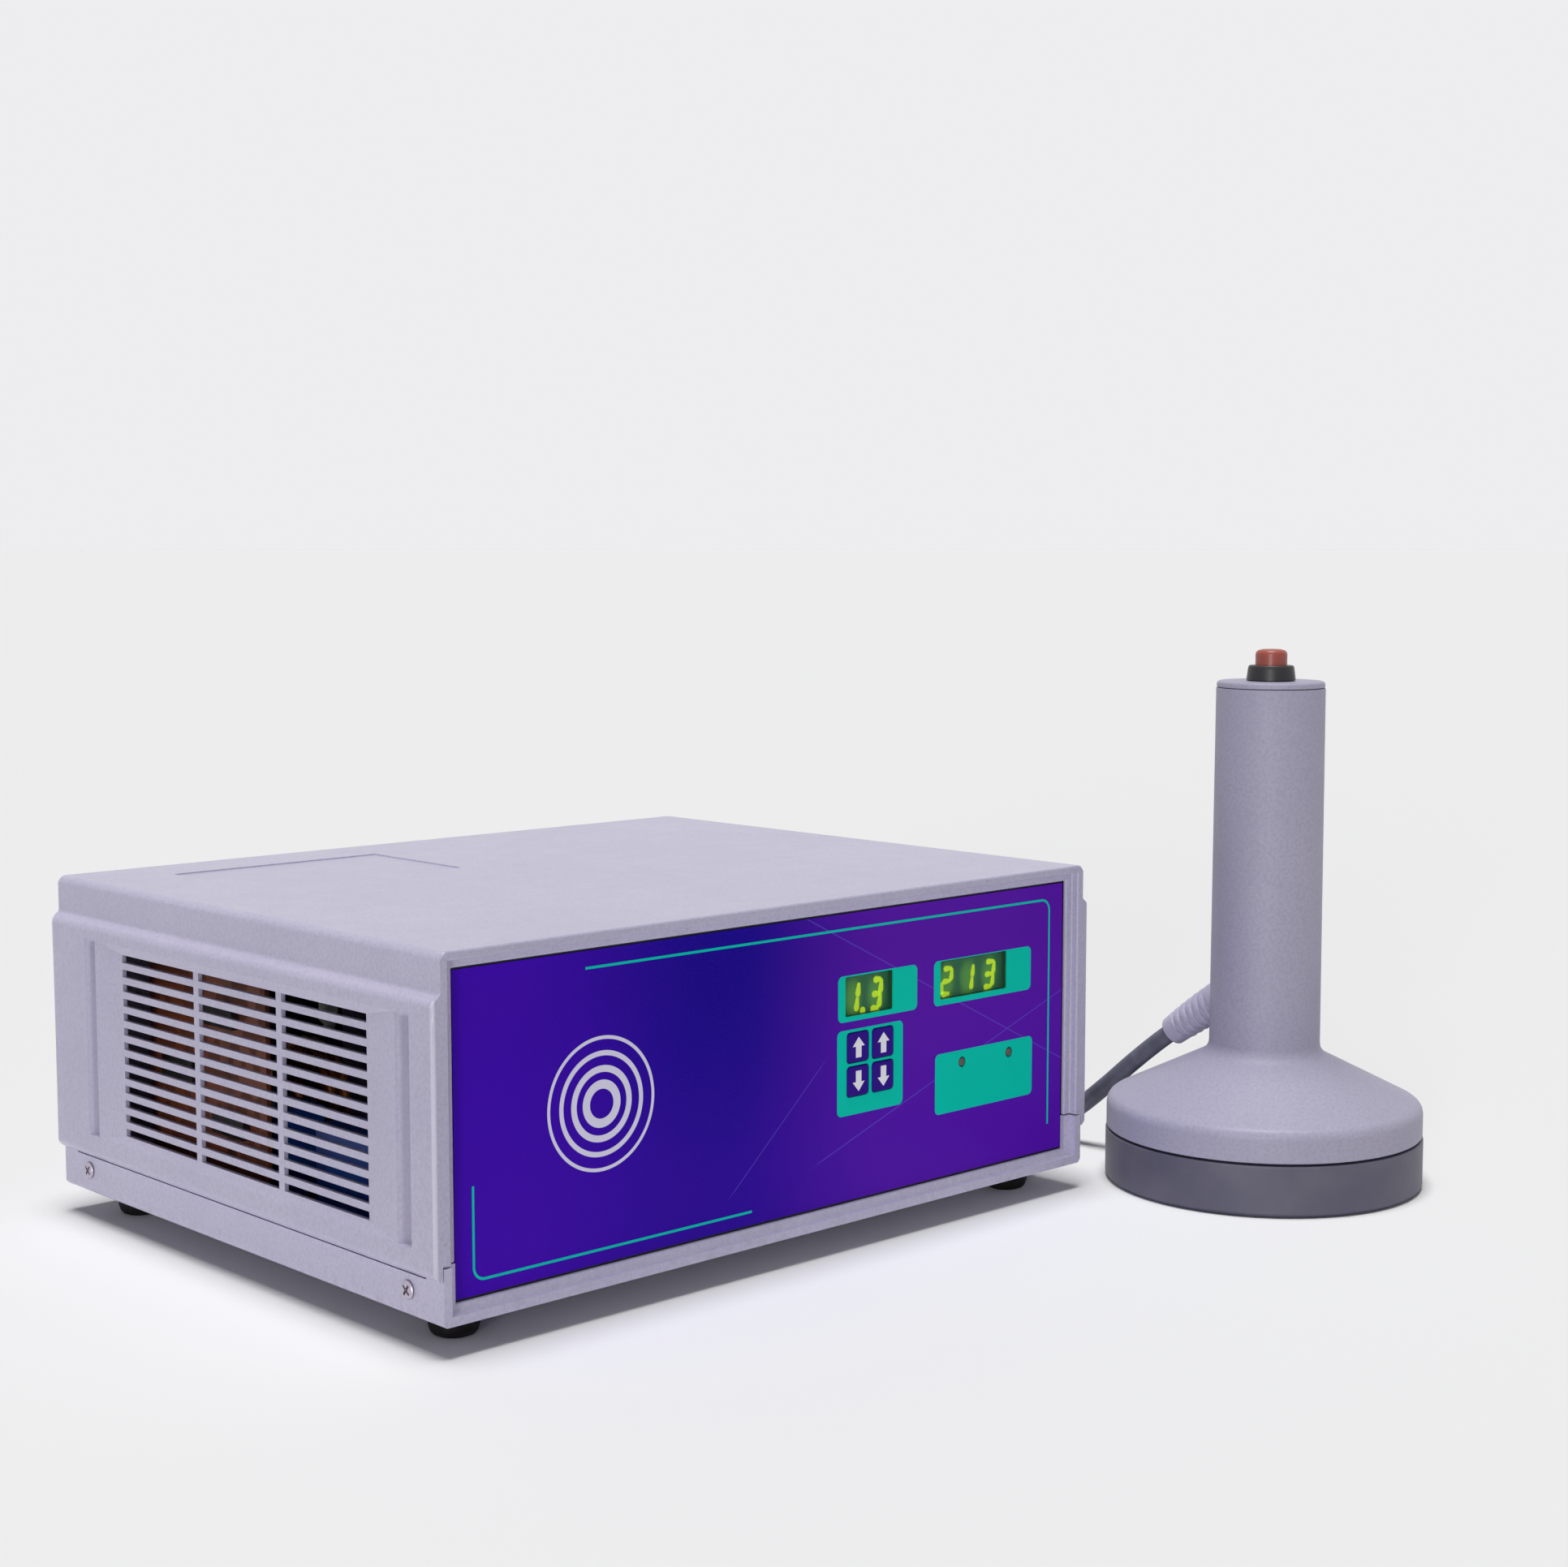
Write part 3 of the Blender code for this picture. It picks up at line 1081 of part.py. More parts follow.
def make_heat_sink(name, parent, finish, x, y, base):
    """Extruded comb of upright fins on a thick back."""
    pitch = (SINK_LENGTH - SINK_FIN_THICK) / (SINK_FINS - 1)
    left = x - SINK_WIDTH / 2
    outline = [(left, y - SINK_LENGTH / 2)]
    for fin in range(SINK_FINS):
        low = y - SINK_LENGTH / 2 + fin * pitch
        outline += [(left + SINK_WIDTH, low), (left + SINK_WIDTH, low + SINK_FIN_THICK)]
        if fin < SINK_FINS - 1:
            outline += [(left + SINK_BASE, low + SINK_FIN_THICK), (left + SINK_BASE, low + pitch)]
    outline.append((left, y + SINK_LENGTH / 2))
    prism(name, outline, 2, base, base + SINK_HEIGHT, parent, finish)


def make_capacitors(parent, blue, black, base):
    """Two box film capacitors and two upright electrolytic ones."""
    wide, long, tall = FILM_CAP_SIZE
    x = POWER_BOARD_X[0] + FILM_CAP_FROM_EDGE
    for name, y in (("film_capacitor_front", FILM_CAP_FRONT_Y), ("film_capacitor_rear", FILM_CAP_REAR_Y)):
        block = box(name, (x - wide / 2, x + wide / 2), (y - long / 2, y + long / 2), (base, base + tall), parent, blue)
        soften(block, 0.0015)
    profile = [(ROUND_CAP_RADIUS, 0), (ROUND_CAP_RADIUS, 0.003), (ROUND_CAP_RADIUS * 0.93, 0.004)]
    profile += [(ROUND_CAP_RADIUS, 0.005), (ROUND_CAP_RADIUS, ROUND_CAP_HEIGHT - 0.0012)]
    profile += [(ROUND_CAP_RADIUS - 0.0012, ROUND_CAP_HEIGHT)]
    for name, x in (("round_capacitor_left", ROUND_CAP_X), ("round_capacitor_right", ROUND_CAP_X + ROUND_CAP_SPACING)):
        turned(name, profile, 24, parent, black, (x, ROUND_CAP_Y, base))


def make_transformer(parent, core_finish, winding_finish, base):
    """Ferrite core with three legs, and the winding on the middle leg."""
    x = POWER_BOARD_X[0] + CORE_FROM_EDGE
    y = CORE_Y
    half = CORE_WIDTH / 2
    outline = [(x - half, base), (x + half, base), (x + half, base + CORE_HEIGHT), (x - half, base + CORE_HEIGHT)]
    core = prism("transformer_core", outline, 1, y - CORE_DEPTH / 2, y + CORE_DEPTH / 2, parent, core_finish)
    windows = bmesh.new()
    low = base + CORE_LEG
    high = base + CORE_HEIGHT - CORE_LEG
    for sign in (1, -1):
        wx = sorted((x + sign * CORE_LEG, x + sign * (half - CORE_LEG)))
        add_box(windows, wx, (y - CORE_DEPTH / 2 - PAST, y + CORE_DEPTH / 2 + PAST), (low, high))
    combine(core, finish_mesh("core_window_cutter", windows, parent))
    clear = WINDING_CLEAR
    outer = (2 * (half - CORE_LEG - clear), CORE_DEPTH + 2 * WINDING_STANDS_OUT)
    inner = (2 * (CORE_LEG + clear), CORE_DEPTH + 2 * clear)
    tall = (low + clear, high - clear)
    winding = prism("transformer_winding", rounded(*outer, 0.005, 3, (x, y)), 2, *tall, parent, winding_finish)
    hole = rounded(*inner, 0.001, 1, (x, y))
    combine(winding, prism("winding_cutter", hole, 2, tall[0] - PAST, tall[1] + PAST, parent))


def make_choke(parent, finish, base):
    """Ring choke standing on its edge, its turns showing as ridges."""
    steps = 40
    rings = []
    for i in range(steps):
        turn = 2 * math.pi * i / steps
        tube = CHOKE_TUBE * (1.0 if i % 2 else 0.9)
        along = Vector((0, math.cos(turn), math.sin(turn)))
        ring = []
        for side in range(8):
            angle = 2 * math.pi * side / 8
            point = along * (CHOKE_RADIUS + tube * math.cos(angle))
            point.x = tube * math.sin(angle)
            ring.append(tuple(point))
        rings.append(ring)
    place = (POWER_BOARD_X[0] + CHOKE_FROM_EDGE, CHOKE_Y, base + CHOKE_RADIUS + CHOKE_TUBE)
    loft("choke", rings, parent, finish, place, closed=True)


def make_bridge(parent, finish, base):
    """Bridge rectifier upright beside the heat sink."""
    long, thick, tall = BRIDGE_SIZE
    x = POWER_BOARD_X[1] - SINK_RIGHT_FROM_EDGE - SINK_WIDTH / 2 - BRIDGE_FROM_SINK
    y = BRIDGE_Y
    block = box("bridge_rectifier", (x - thick / 2, x + thick / 2), (y - long / 2, y + long / 2), (base, base + tall), parent, finish)
    soften(block, 0.0008, 1)


def make_terminal_block(parent, finish, base):
    """Screw terminals for the wires of the head cable, near the rear panel."""
    wide, deep, tall = TERMINAL_SIZE
    x = CABLE_OUT_X
    y = TERMINAL_Y
    outline = [(x - wide / 2, y - deep / 2), (x + wide / 2, y - deep / 2)]
    outline += [(x + wide / 2, y + deep / 2), (x - wide / 2, y + deep / 2)]
    block = prism("terminal_block", outline, 2, base, base + tall, parent, finish)
    wells = bmesh.new()
    for step in (-1, 0, 1):
        ring = arc((x + step * wide / 3.2, y), 0.0028, 0, 330, 11)
        add_prism(wells, ring, 2, base + tall * 0.7, base + tall + PAST)
    combine(block, finish_mesh("terminal_cutter", wells, parent))


def boot_profile(length):
    """(radius, distance) of the ribbed boot, from its root inside the wall to its end collar."""
    neck = BOOT_NECK_RADIUS
    base_radius = BOOT_BASE_RADIUS
    profile = [(neck, -BOOT_ROOT_LENGTH), (neck, 0), (base_radius, 0)]
    ribbed = length - BOOT_COLLAR
    pitch = ribbed / BOOT_RIBS
    for rib in range(BOOT_RIBS):
        start = rib * pitch
        radius = base_radius + (BOOT_END_RADIUS - base_radius) * start / length
        profile += [(radius, start + pitch * 0.10), (radius - 0.0001, start + pitch * 0.62)]
        profile += [(radius - BOOT_GROOVE, start + pitch * 0.70), (radius - BOOT_GROOVE, start + pitch * 0.92)]
    last = BOOT_END_RADIUS + (base_radius - BOOT_END_RADIUS) * BOOT_COLLAR / length
    profile += [(last, ribbed), (BOOT_END_RADIUS, length - 0.0010), (BOOT_END_RADIUS - 0.0008, length)]
    return profile


def make_boot(name, parent, finish, place, direction, length):
    """A boot pointing away from the piece that it is fixed to."""
    boot = turned(name, boot_profile(length), 14, parent, finish, place)
    boot.rotation_euler = direction.to_track_quat("Z", "Y").to_euler()
    return boot


def bell_outline():
    """Outer (radius, height) of the head from the top of the handle to the foot of the bell."""
    slope = BELL_CONE_ANGLE
    shoulder = (BELL_RADIUS - BELL_SHOULDER_RADIUS, BELL_SKIRT_TOP)
    outer = arc(shoulder, BELL_SHOULDER_RADIUS, 90 - math.degrees(slope), 0, 5)
    start = outer[0]
    centre_r = HANDLE_BASE_RADIUS + HANDLE_FILLET
    # The fillet's centre is one radius above the cone's line
    foot_z = start[1] + (start[0] - centre_r) * math.tan(slope) + HANDLE_FILLET / math.cos(slope)
    fillet = arc((centre_r, foot_z), HANDLE_FILLET, 180, 270 - math.degrees(slope), 4)
    return [(HANDLE_TOP_RADIUS, HANDLE_TOP)] + fillet + outer + [(BELL_RADIUS, BELL_LOW_Z)]


def inside_of(outline, wall):
    """The same run of points, moved inwards by a wall."""
    moved = []
    for i, (radius, height) in enumerate(outline):
        before = Vector(outline[max(i - 1, 0)])
        after = Vector(outline[min(i + 1, len(outline) - 1)])
        along = (after - before).normalized()
        moved.append((radius + along.y * wall, height - along.x * wall))
    moved[0] = (moved[0][0], outline[0][1])
    moved[-1] = (moved[-1][0], outline[-1][1])
    return moved


def boot_direction():
    level = Vector((math.cos(BOOT_TURN), math.sin(BOOT_TURN), 0)) * math.cos(BOOT_DROP)
    return level - Vector((0, 0, math.sin(BOOT_DROP)))


def boot_root():
    """Where the boot's axis leaves the handle."""
    level = Vector((math.cos(BOOT_TURN), math.sin(BOOT_TURN), 0))
    return level * (HANDLE_BASE_RADIUS - 0.0012) + Vector((0, 0, BOOT_HEIGHT_ON_HANDLE))


def make_head_shell(parent, finish):
    """Bell and handle in one moulding, open at the top for the cap and below for the coil cup."""
    outer = bell_outline()
    inner = inside_of(outer, BELL_WALL)
    shell = turned("head_shell", outer + list(reversed(inner)), 40, parent, finish, closed=True)
    direction = boot_direction()
    hole = [(BOOT_NECK_RADIUS + GAP, -0.012), (BOOT_NECK_RADIUS + GAP, 0.010)]
    cutter = turned("boot_hole_cutter", hole, 16, parent, None, boot_root())
    cutter.rotation_euler = direction.to_track_quat("Z", "Y").to_euler()
    combine(shell, cutter)
    seat = [(BOOT_BASE_RADIUS + GAP, 0), (BOOT_BASE_RADIUS + GAP, 0.016)]
    spot = turned("boot_seat_cutter", seat, 20, parent, None, boot_root() - direction * GAP)
    spot.rotation_euler = cutter.rotation_euler
    combine(shell, spot)
    return shell


def make_coil_cup(parent, finish):
    """Dark cup whose flat floor is the sealing face, with a spigot that the bell sits over."""
    low = arc((CUP_RADIUS - CUP_EDGE_RADIUS, CUP_EDGE_RADIUS), CUP_EDGE_RADIUS, -90, 0, 3)
    spigot = BELL_RADIUS - BELL_WALL - GAP
    inner = CUP_INNER_RADIUS
    profile = low + [(CUP_RADIUS, CUP_TOP_Z - 0.0004), (CUP_RADIUS - 0.0004, CUP_TOP_Z), (spigot, CUP_TOP_Z)]
    profile += [(spigot, CUP_TOP_Z + CUP_SPIGOT), (inner, CUP_TOP_Z + CUP_SPIGOT), (inner, CUP_FLOOR)]
    turned("coil_cup", profile, 40, parent, finish)


def make_coil(parent, copper, dark):
    """Flat winding on the cup's floor, with ferrite bars on top of it."""
    low = CUP_FLOOR + GAP
    high = low + COIL_HEIGHT
    profile = [(COIL_INNER_RADIUS, low), (COIL_OUTER_RADIUS, low)]
    turns = 6
    pitch = (COIL_OUTER_RADIUS - COIL_INNER_RADIUS) / turns
    for turn in range(turns):
        outer = COIL_OUTER_RADIUS - turn * pitch
        profile += [(outer, high - 0.0008), (outer - pitch * 0.5, high)]
    profile.append((COIL_INNER_RADIUS, high - 0.0008))
    turned("induction_coil", profile, 32, parent, copper, closed=True)
    long, wide, tall = FERRITE_LONG, FERRITE_WIDTH, FERRITE_TALL
    base = high + GAP
    for i in range(FERRITE_COUNT):
        x = (FERRITE_INNER_RADIUS, FERRITE_INNER_RADIUS + long)
        bar = box(f"ferrite_bar_{i + 1}", x, (-wide / 2, wide / 2), (base, base + tall), parent, dark)
        bar.rotation_euler = (0, 0, 2 * math.pi * i / FERRITE_COUNT + math.pi / 4)


def make_handle_top(parent, shell_finish, black, red):
    """Cap, bush, push button and the switch under it. The button slides down the handle's axis."""
    cap_low = HANDLE_TOP + GAP
    hole = BUSH_NECK_RADIUS + GAP
    spigot = HANDLE_TOP_RADIUS - BELL_WALL - GAP
    profile = [(HANDLE_TOP_RADIUS - 0.0003, cap_low), (HANDLE_TOP_RADIUS - 0.0003, HANDLE_CAP_TOP - 0.0008)]
    profile += [(HANDLE_TOP_RADIUS - 0.0011, HANDLE_CAP_TOP), (hole, HANDLE_CAP_TOP)]
    profile += [(hole, cap_low - HANDLE_CAP_SPIGOT), (spigot, cap_low - HANDLE_CAP_SPIGOT), (spigot, cap_low)]
    turned("handle_cap", profile, 36, parent, shell_finish, closed=True)
    bush_low = HANDLE_CAP_TOP + GAP
    bore = BUTTON_RADIUS + GAP
    neck_low = bush_low - BUSH_NECK_LENGTH
    profile = [(BUSH_RADIUS, bush_low), (BUSH_TOP_RADIUS, BUSH_TOP - 0.0005), (BUSH_TOP_RADIUS - 0.0005, BUSH_TOP)]
    profile += [(bore, BUSH_TOP), (bore, neck_low), (BUSH_NECK_RADIUS, neck_low), (BUSH_NECK_RADIUS, bush_low)]
    turned("button_bush", profile, 28, parent, black, closed=True)
    can_top = neck_low - GAP
    can_low = can_top - SWITCH_CAN_LENGTH
    floor = can_low + SWITCH_CAN_FLOOR
    profile = [(SWITCH_CAN_RADIUS - 0.001, can_low), (SWITCH_CAN_RADIUS, can_low + 0.001), (SWITCH_CAN_RADIUS, can_top)]
    profile += [(bore, can_top), (bore, floor)]
    turned("trigger_switch", profile, 24, parent, black)
    low = floor + BUTTON_TRAVEL + GAP
    profile = [(BUTTON_RADIUS, low), (BUTTON_RADIUS, BUTTON_TOP - 0.0018)]
    profile += [(BUTTON_RADIUS - 0.0005, BUTTON_TOP - 0.0007), (BUTTON_RADIUS - 0.0018, BUTTON_TOP - 0.0001)]
    profile += [(BUTTON_RADIUS - 0.0035, BUTTON_TOP)]
    turned("trigger_button", profile, 24, parent, red)


def smooth_route(points, spacing):
    """A Catmull-Rom curve through the points, read at about even spacing."""
    spots = [Vector(p) for p in points]
    spots = [spots[0] * 2 - spots[1]] + spots + [spots[-1] * 2 - spots[-2]]
    fine = []
    for a, b, c, d in zip(spots, spots[1:], spots[2:], spots[3:]):
        for i in range(24):
            t = i / 24
            fine.append(0.5 * (2 * b + (c - a) * t + (2 * a - 5 * b + 4 * c - d) * t**2 + (3 * b - a - 3 * c + d) * t**3))
    fine.append(spots[-2])
    lengths = [0.0]
    for first, second in zip(fine, fine[1:]):
        lengths.append(lengths[-1] + (second - first).length)
    count = max(3, round(lengths[-1] / spacing))
    read = []
    at = 0
    for i in range(count + 1):
        want = lengths[-1] * i / count
        while at < len(fine) - 2 and lengths[at + 1] < want:
            at += 1
        span = lengths[at + 1] - lengths[at]
        share = 0 if span == 0 else (want - lengths[at]) / span
        read.append(fine[at].lerp(fine[at + 1], share))
    return read


def make_cord_tube(name, points, parent, finish):
    curve = bpy.data.curves.new(name, "CURVE")
    curve.dimensions = "3D"
    curve.bevel_depth = CORD_RADIUS
    curve.bevel_resolution = 2
    curve.use_fill_caps = True
    read = smooth_route(points, CORD_POINT_SPACING)
    spline = curve.splines.new("POLY")
    spline.points.add(len(read) - 1)
    for spot, point in zip(spline.points, read):
        spot.co = (*point, 1)
    curve.materials.append(finish)
    obj = bpy.data.objects.new(name, curve)
    obj.parent = parent
    bpy.context.collection.objects.link(obj)
    return obj


# Routes of the cable from the middle of the housing, above the floor
CABLE_Z = CABLE_OUT_Z + FOOT_HEIGHT
CORD_FROM_UNIT = (
    (CABLE_OUT_X, REAR_BOOT_END + GAP, CABLE_Z),
    (CABLE_OUT_X, REAR_BOOT_END + 0.0045, CABLE_Z),
    (CABLE_OUT_X, REAR_BOOT_END + 0.0110, CABLE_Z - 0.0015),
    (CABLE_OUT_X, REAR_BOOT_END + 0.0185, CABLE_Z - 0.0051),
    (CABLE_OUT_X, REAR_BOOT_END + 0.0266, 2 * CORD_RADIUS + TURN_PITCH + 0.0022),
)
CORD_TO_HEAD = (
    (0.1330, 0.1890, 0.0036),
    (0.1520, 0.1715, 0.0036),
    (0.1670, 0.1490, 0.0036),
    (0.1765, 0.1210, 0.0036),
    (0.1825, 0.0880, 0.0036),
    (0.1860, 0.0550, 0.0036),
    (0.1885, 0.0200, 0.0036),
    (0.1905, -0.0120, 0.0036),
    (0.1920, -0.0380, 0.0038),
    (0.1930, -0.0530, 0.0060),
    (0.1942, -0.0670, 0.0127),
    (0.1957, -0.0810, 0.0240),
    (0.1972, -0.0945, 0.0362),
)


def make_cord(parent, finish, head_place):
    """One cable in three solids: two loose runs, and the coil of its spare length behind the unit."""
    make_cord_tube("cord_at_unit", CORD_FROM_UNIT, parent, finish)
    end = head_place + boot_root() + boot_direction() * (BOOT_LENGTH + GAP)
    before = end + boot_direction() * 0.008
    out = Vector((math.cos(CORD_LEAVES_COIL), math.sin(CORD_LEAVES_COIL), 0))
    along = Vector((out.y, -out.x, 0))
    centre = Vector((CORD_COIL_X, CORD_COIL_Y, CORD_RADIUS + GAP / 2))
    start = centre + out * OUTER_TURN_RADIUS + along * CORD_CLEAR_OF_COIL
    route = [tuple(start)] + list(CORD_TO_HEAD) + [tuple(before), tuple(end)]
    make_cord_tube("cord_to_head", route, parent, finish)
    half = TURN_PITCH / 2 + CORD_RADIUS
    inner = COIL_MEAN_RADIUS - half
    outer = COIL_MEAN_RADIUS + half
    high = 2 * half
    profile = [(inner, 0), (outer, 0), (outer, high), (inner, high)]
    place = (CORD_COIL_X, CORD_COIL_Y, 0)
    turned("cord_coil", profile, 32, parent, finish, place, closed=True)


def make_housing(origin):
    shell = material("light_grey_plastic", SHELL_GREY, 0.45)
    black = material("black_plastic", BLACK, 0.4)
    rubber = material("black_rubber", BLACK, 0.8)
    steel = material("zinc_steel", (0.6, 0.6, 0.62), 0.3, 1.0)
    board = material("circuit_board", (0.16, 0.07, 0.03), 0.5)
    blue = material("blue_film", (0.01, 0.08, 0.25), 0.35)
    copper = material("enamelled_copper", (0.55, 0.19, 0.06), 0.35, 0.8)
    ferrite = material("ferrite", (0.03, 0.03, 0.035), 0.6)
    aluminium = material("aluminium", (0.62, 0.62, 0.64), 0.4, 1.0)
    make_bottom_tray(origin, shell)
    make_top_cover(origin, shell)
    make_feet(origin, rubber)
    make_case_screws(origin, steel)
    make_front_panel(origin, black, material("printed_film", (0.05, 0.01, 0.24), 0.35))
    make_windows(origin, material("green_window", (0.02, 0.10, 0.05), 0.1))
    make_displays(origin, black)
    make_lamps(origin, material("lamp_lens", (0.25, 0.02, 0.02), 0.2))
    make_keys(origin, material("key_film", (0.02, 0.005, 0.15), 0.35))
    make_control_board(origin, board)
    make_rear_panel(origin, shell)
    make_power_switch(origin, black, material("rocker_red", (0.5, 0.02, 0.02), 0.35))
    make_mains_inlet(origin, black)
    make_fuse_holder(origin, black)
    make_fan(origin, black, black)
    base = make_power_board(origin, board)
    make_driver_board(origin, board, base)
    make_heat_sink("heat_sink_left", origin, aluminium, SINK_LEFT_X, SINK_LEFT_Y, base)
    right = POWER_BOARD_X[1] - SINK_RIGHT_FROM_EDGE
    make_heat_sink("heat_sink_right", origin, aluminium, right, SINK_RIGHT_Y, base)
    make_capacitors(origin, blue, black, base)
    make_transformer(origin, ferrite, copper, base)
    make_choke(origin, copper, base)
    make_bridge(origin, black, base)
    make_terminal_block(origin, material("terminal_green", (0.02, 0.16, 0.05), 0.45), base)
    place = (CABLE_OUT_X, REAR_Y - PANEL_SETBACK + GAP, CABLE_OUT_Z)
    make_boot("unit_cable_boot", origin, shell, place, Vector((0, 1, 0)), REAR_BOOT_LENGTH - GAP)


def make_head(origin):
    shell = material("light_grey_plastic", SHELL_GREY, 0.45)
    black = material("black_plastic", BLACK, 0.4)
    make_coil_cup(origin, material("slate_plastic", CUP_GREY, 0.55))
    make_coil(origin, material("enamelled_copper", (0.55, 0.19, 0.06), 0.35, 0.8), material("ferrite", BLACK, 0.6))
    make_head_shell(origin, shell)
    make_handle_top(origin, shell, black, material("button_red", (0.45, 0.10, 0.07), 0.35))
    place = boot_root()
    make_boot("head_cable_boot", origin, shell, place, boot_direction(), BOOT_LENGTH)


def main():
    clear_scene()
    housing = frame("housing_frame", (HOUSING_X, HOUSING_Y, FOOT_HEIGHT))
    floor = frame("floor_frame", (HOUSING_X, HOUSING_Y, 0))
    head = frame("head_frame", (HOUSING_X + HEAD_OFFSET_X, HOUSING_Y + HEAD_OFFSET_Y, 0))
    make_housing(housing)
    make_head(head)
    make_cord(floor, material("cable_grey", (0.12, 0.125, 0.18), 0.55), Vector((HEAD_OFFSET_X, HEAD_OFFSET_Y, 0)))


main()
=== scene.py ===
"""Looks of a hand-held induction cap sealer: a bench power unit, its sealing head and their cable.

The pieces are taken in the order in which such a machine is put together, and the studio comes last.
"""

import math

import bmesh
import bpy
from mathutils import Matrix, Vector


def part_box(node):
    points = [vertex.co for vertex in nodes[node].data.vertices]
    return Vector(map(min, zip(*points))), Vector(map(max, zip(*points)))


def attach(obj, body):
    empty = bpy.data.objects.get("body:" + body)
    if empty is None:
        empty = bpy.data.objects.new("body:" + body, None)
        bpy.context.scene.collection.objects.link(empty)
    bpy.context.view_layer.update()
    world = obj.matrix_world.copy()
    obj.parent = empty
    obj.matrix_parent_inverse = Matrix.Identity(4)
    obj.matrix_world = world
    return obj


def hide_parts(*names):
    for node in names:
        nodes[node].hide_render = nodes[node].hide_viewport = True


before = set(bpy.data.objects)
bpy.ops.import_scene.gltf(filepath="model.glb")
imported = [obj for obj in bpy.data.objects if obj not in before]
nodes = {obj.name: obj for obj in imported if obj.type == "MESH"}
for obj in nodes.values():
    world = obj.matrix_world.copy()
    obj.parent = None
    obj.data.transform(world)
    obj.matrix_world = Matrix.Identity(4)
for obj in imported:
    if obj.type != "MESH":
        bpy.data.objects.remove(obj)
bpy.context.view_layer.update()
bpy.ops.object.select_all(action="DESELECT")


# The tray is the lower half of the case, injection moulded in light grey ABS with a fine spark texture.
# The cover drops over its step and the end panels stand in its ledges. Low down it is a little darker, in
# patches.
class Signal:
    """A value or colour on its way to a shader. Sums and products of it add their nodes."""

    def __init__(self, tree, socket=None):
        self.tree = tree
        self.socket = socket

    def node(self, kind, settings, values, output=0):
        made = self.tree.nodes.new(kind)
        for key, value in settings.items():
            setattr(made, key, value)
        for key, value in values.items():
            if isinstance(value, Signal):
                self.tree.links.new(value.socket, made.inputs[key])
            else:
                made.inputs[key].default_value = value
        return Signal(self.tree, made.outputs[output])

    def math(self, operation, first, second=0.0):
        return self.node("ShaderNodeMath", {"operation": operation}, {0: first, 1: second})

    def __add__(self, other):
        return self.math("ADD", self, other)

    def __radd__(self, other):
        return self.math("ADD", other, self)

    def __sub__(self, other):
        return self.math("SUBTRACT", self, other)

    def __rsub__(self, other):
        return self.math("SUBTRACT", other, self)

    def __mul__(self, other):
        return self.math("MULTIPLY", self, other)

    def __rmul__(self, other):
        return self.math("MULTIPLY", other, self)

    def __truediv__(self, other):
        return self.math("DIVIDE", self, other)

    def least(self, other):
        return self.math("MINIMUM", self, other)

    def most(self, other):
        return self.math("MAXIMUM", self, other)

    def size(self):
        return self.math("ABSOLUTE", self)

    def root(self):
        return self.math("SQRT", self)

    def rise(self, low, high):
        """0 below low, 1 above high and smooth between. It falls where high is the lower."""
        if high < low:
            return 1 - self.rise(high, low)
        values = {"Value": self, "From Min": low, "From Max": high}
        return self.node("ShaderNodeMapRange", {"interpolation_type": "SMOOTHSTEP"}, values)

    def tint(self, first, second):
        """The first colour where this is 0, and the second where it is 1."""
        first, second = (c if isinstance(c, Signal) else (*c, 1) for c in (first, second))
        return self.node("ShaderNodeMix", {"data_type": "RGBA"}, {0: self, 6: first, 7: second}, 2)

    def noise(self, grain, detail=2.0, roughness=0.5):
        """Noise at this place, with lumps about one grain across, in metres."""
        values = {"Vector": self, "Scale": 1 / grain, "Detail": detail, "Roughness": roughness}
        return self.node("ShaderNodeTexNoise", {}, values)

    def axes(self):
        """X, Y and Z of this place."""
        return [self.node("ShaderNodeSeparateXYZ", {}, {0: self}, axis) for axis in range(3)]


def shade(red, green, blue):
    """A screen colour from 0 to 255 as the linear colour that a shader takes."""
    screen = (red / 255, green / 255, blue / 255)
    return tuple(((v + 0.055) / 1.055) ** 2.4 if v > 10 / 255 else v / 12.92 for v in screen)


def new_finish(name, colour, roughness, fixed=None):
    """A material with its fixed values on the shader. Returns it, its shader and the place on the piece."""
    made = bpy.data.materials.new(name)
    made.use_nodes = True
    made.diffuse_color = (*colour, 1)
    shader = made.node_tree.nodes["Principled BSDF"]
    shader.inputs["Base Color"].default_value = (*colour, 1)
    shader.inputs["Roughness"].default_value = roughness
    for key, value in (fixed or {}).items():
        shader.inputs[key].default_value = value
    place = Signal(made.node_tree).node("ShaderNodeTexCoord", {}, {}, "Object")
    return made, shader, place


def feed(shader, key, signal):
    """Leads a value or colour to one socket of a shader."""
    signal.tree.links.new(signal.socket, shader.inputs[key])


def roughen(shader, height, depth):
    """Raises the surface by up to a depth in metres where the height is 1."""
    values = {"Height": height, "Distance": depth, "Strength": 1.0}
    feed(shader, "Normal", height.node("ShaderNodeBump", {}, values))


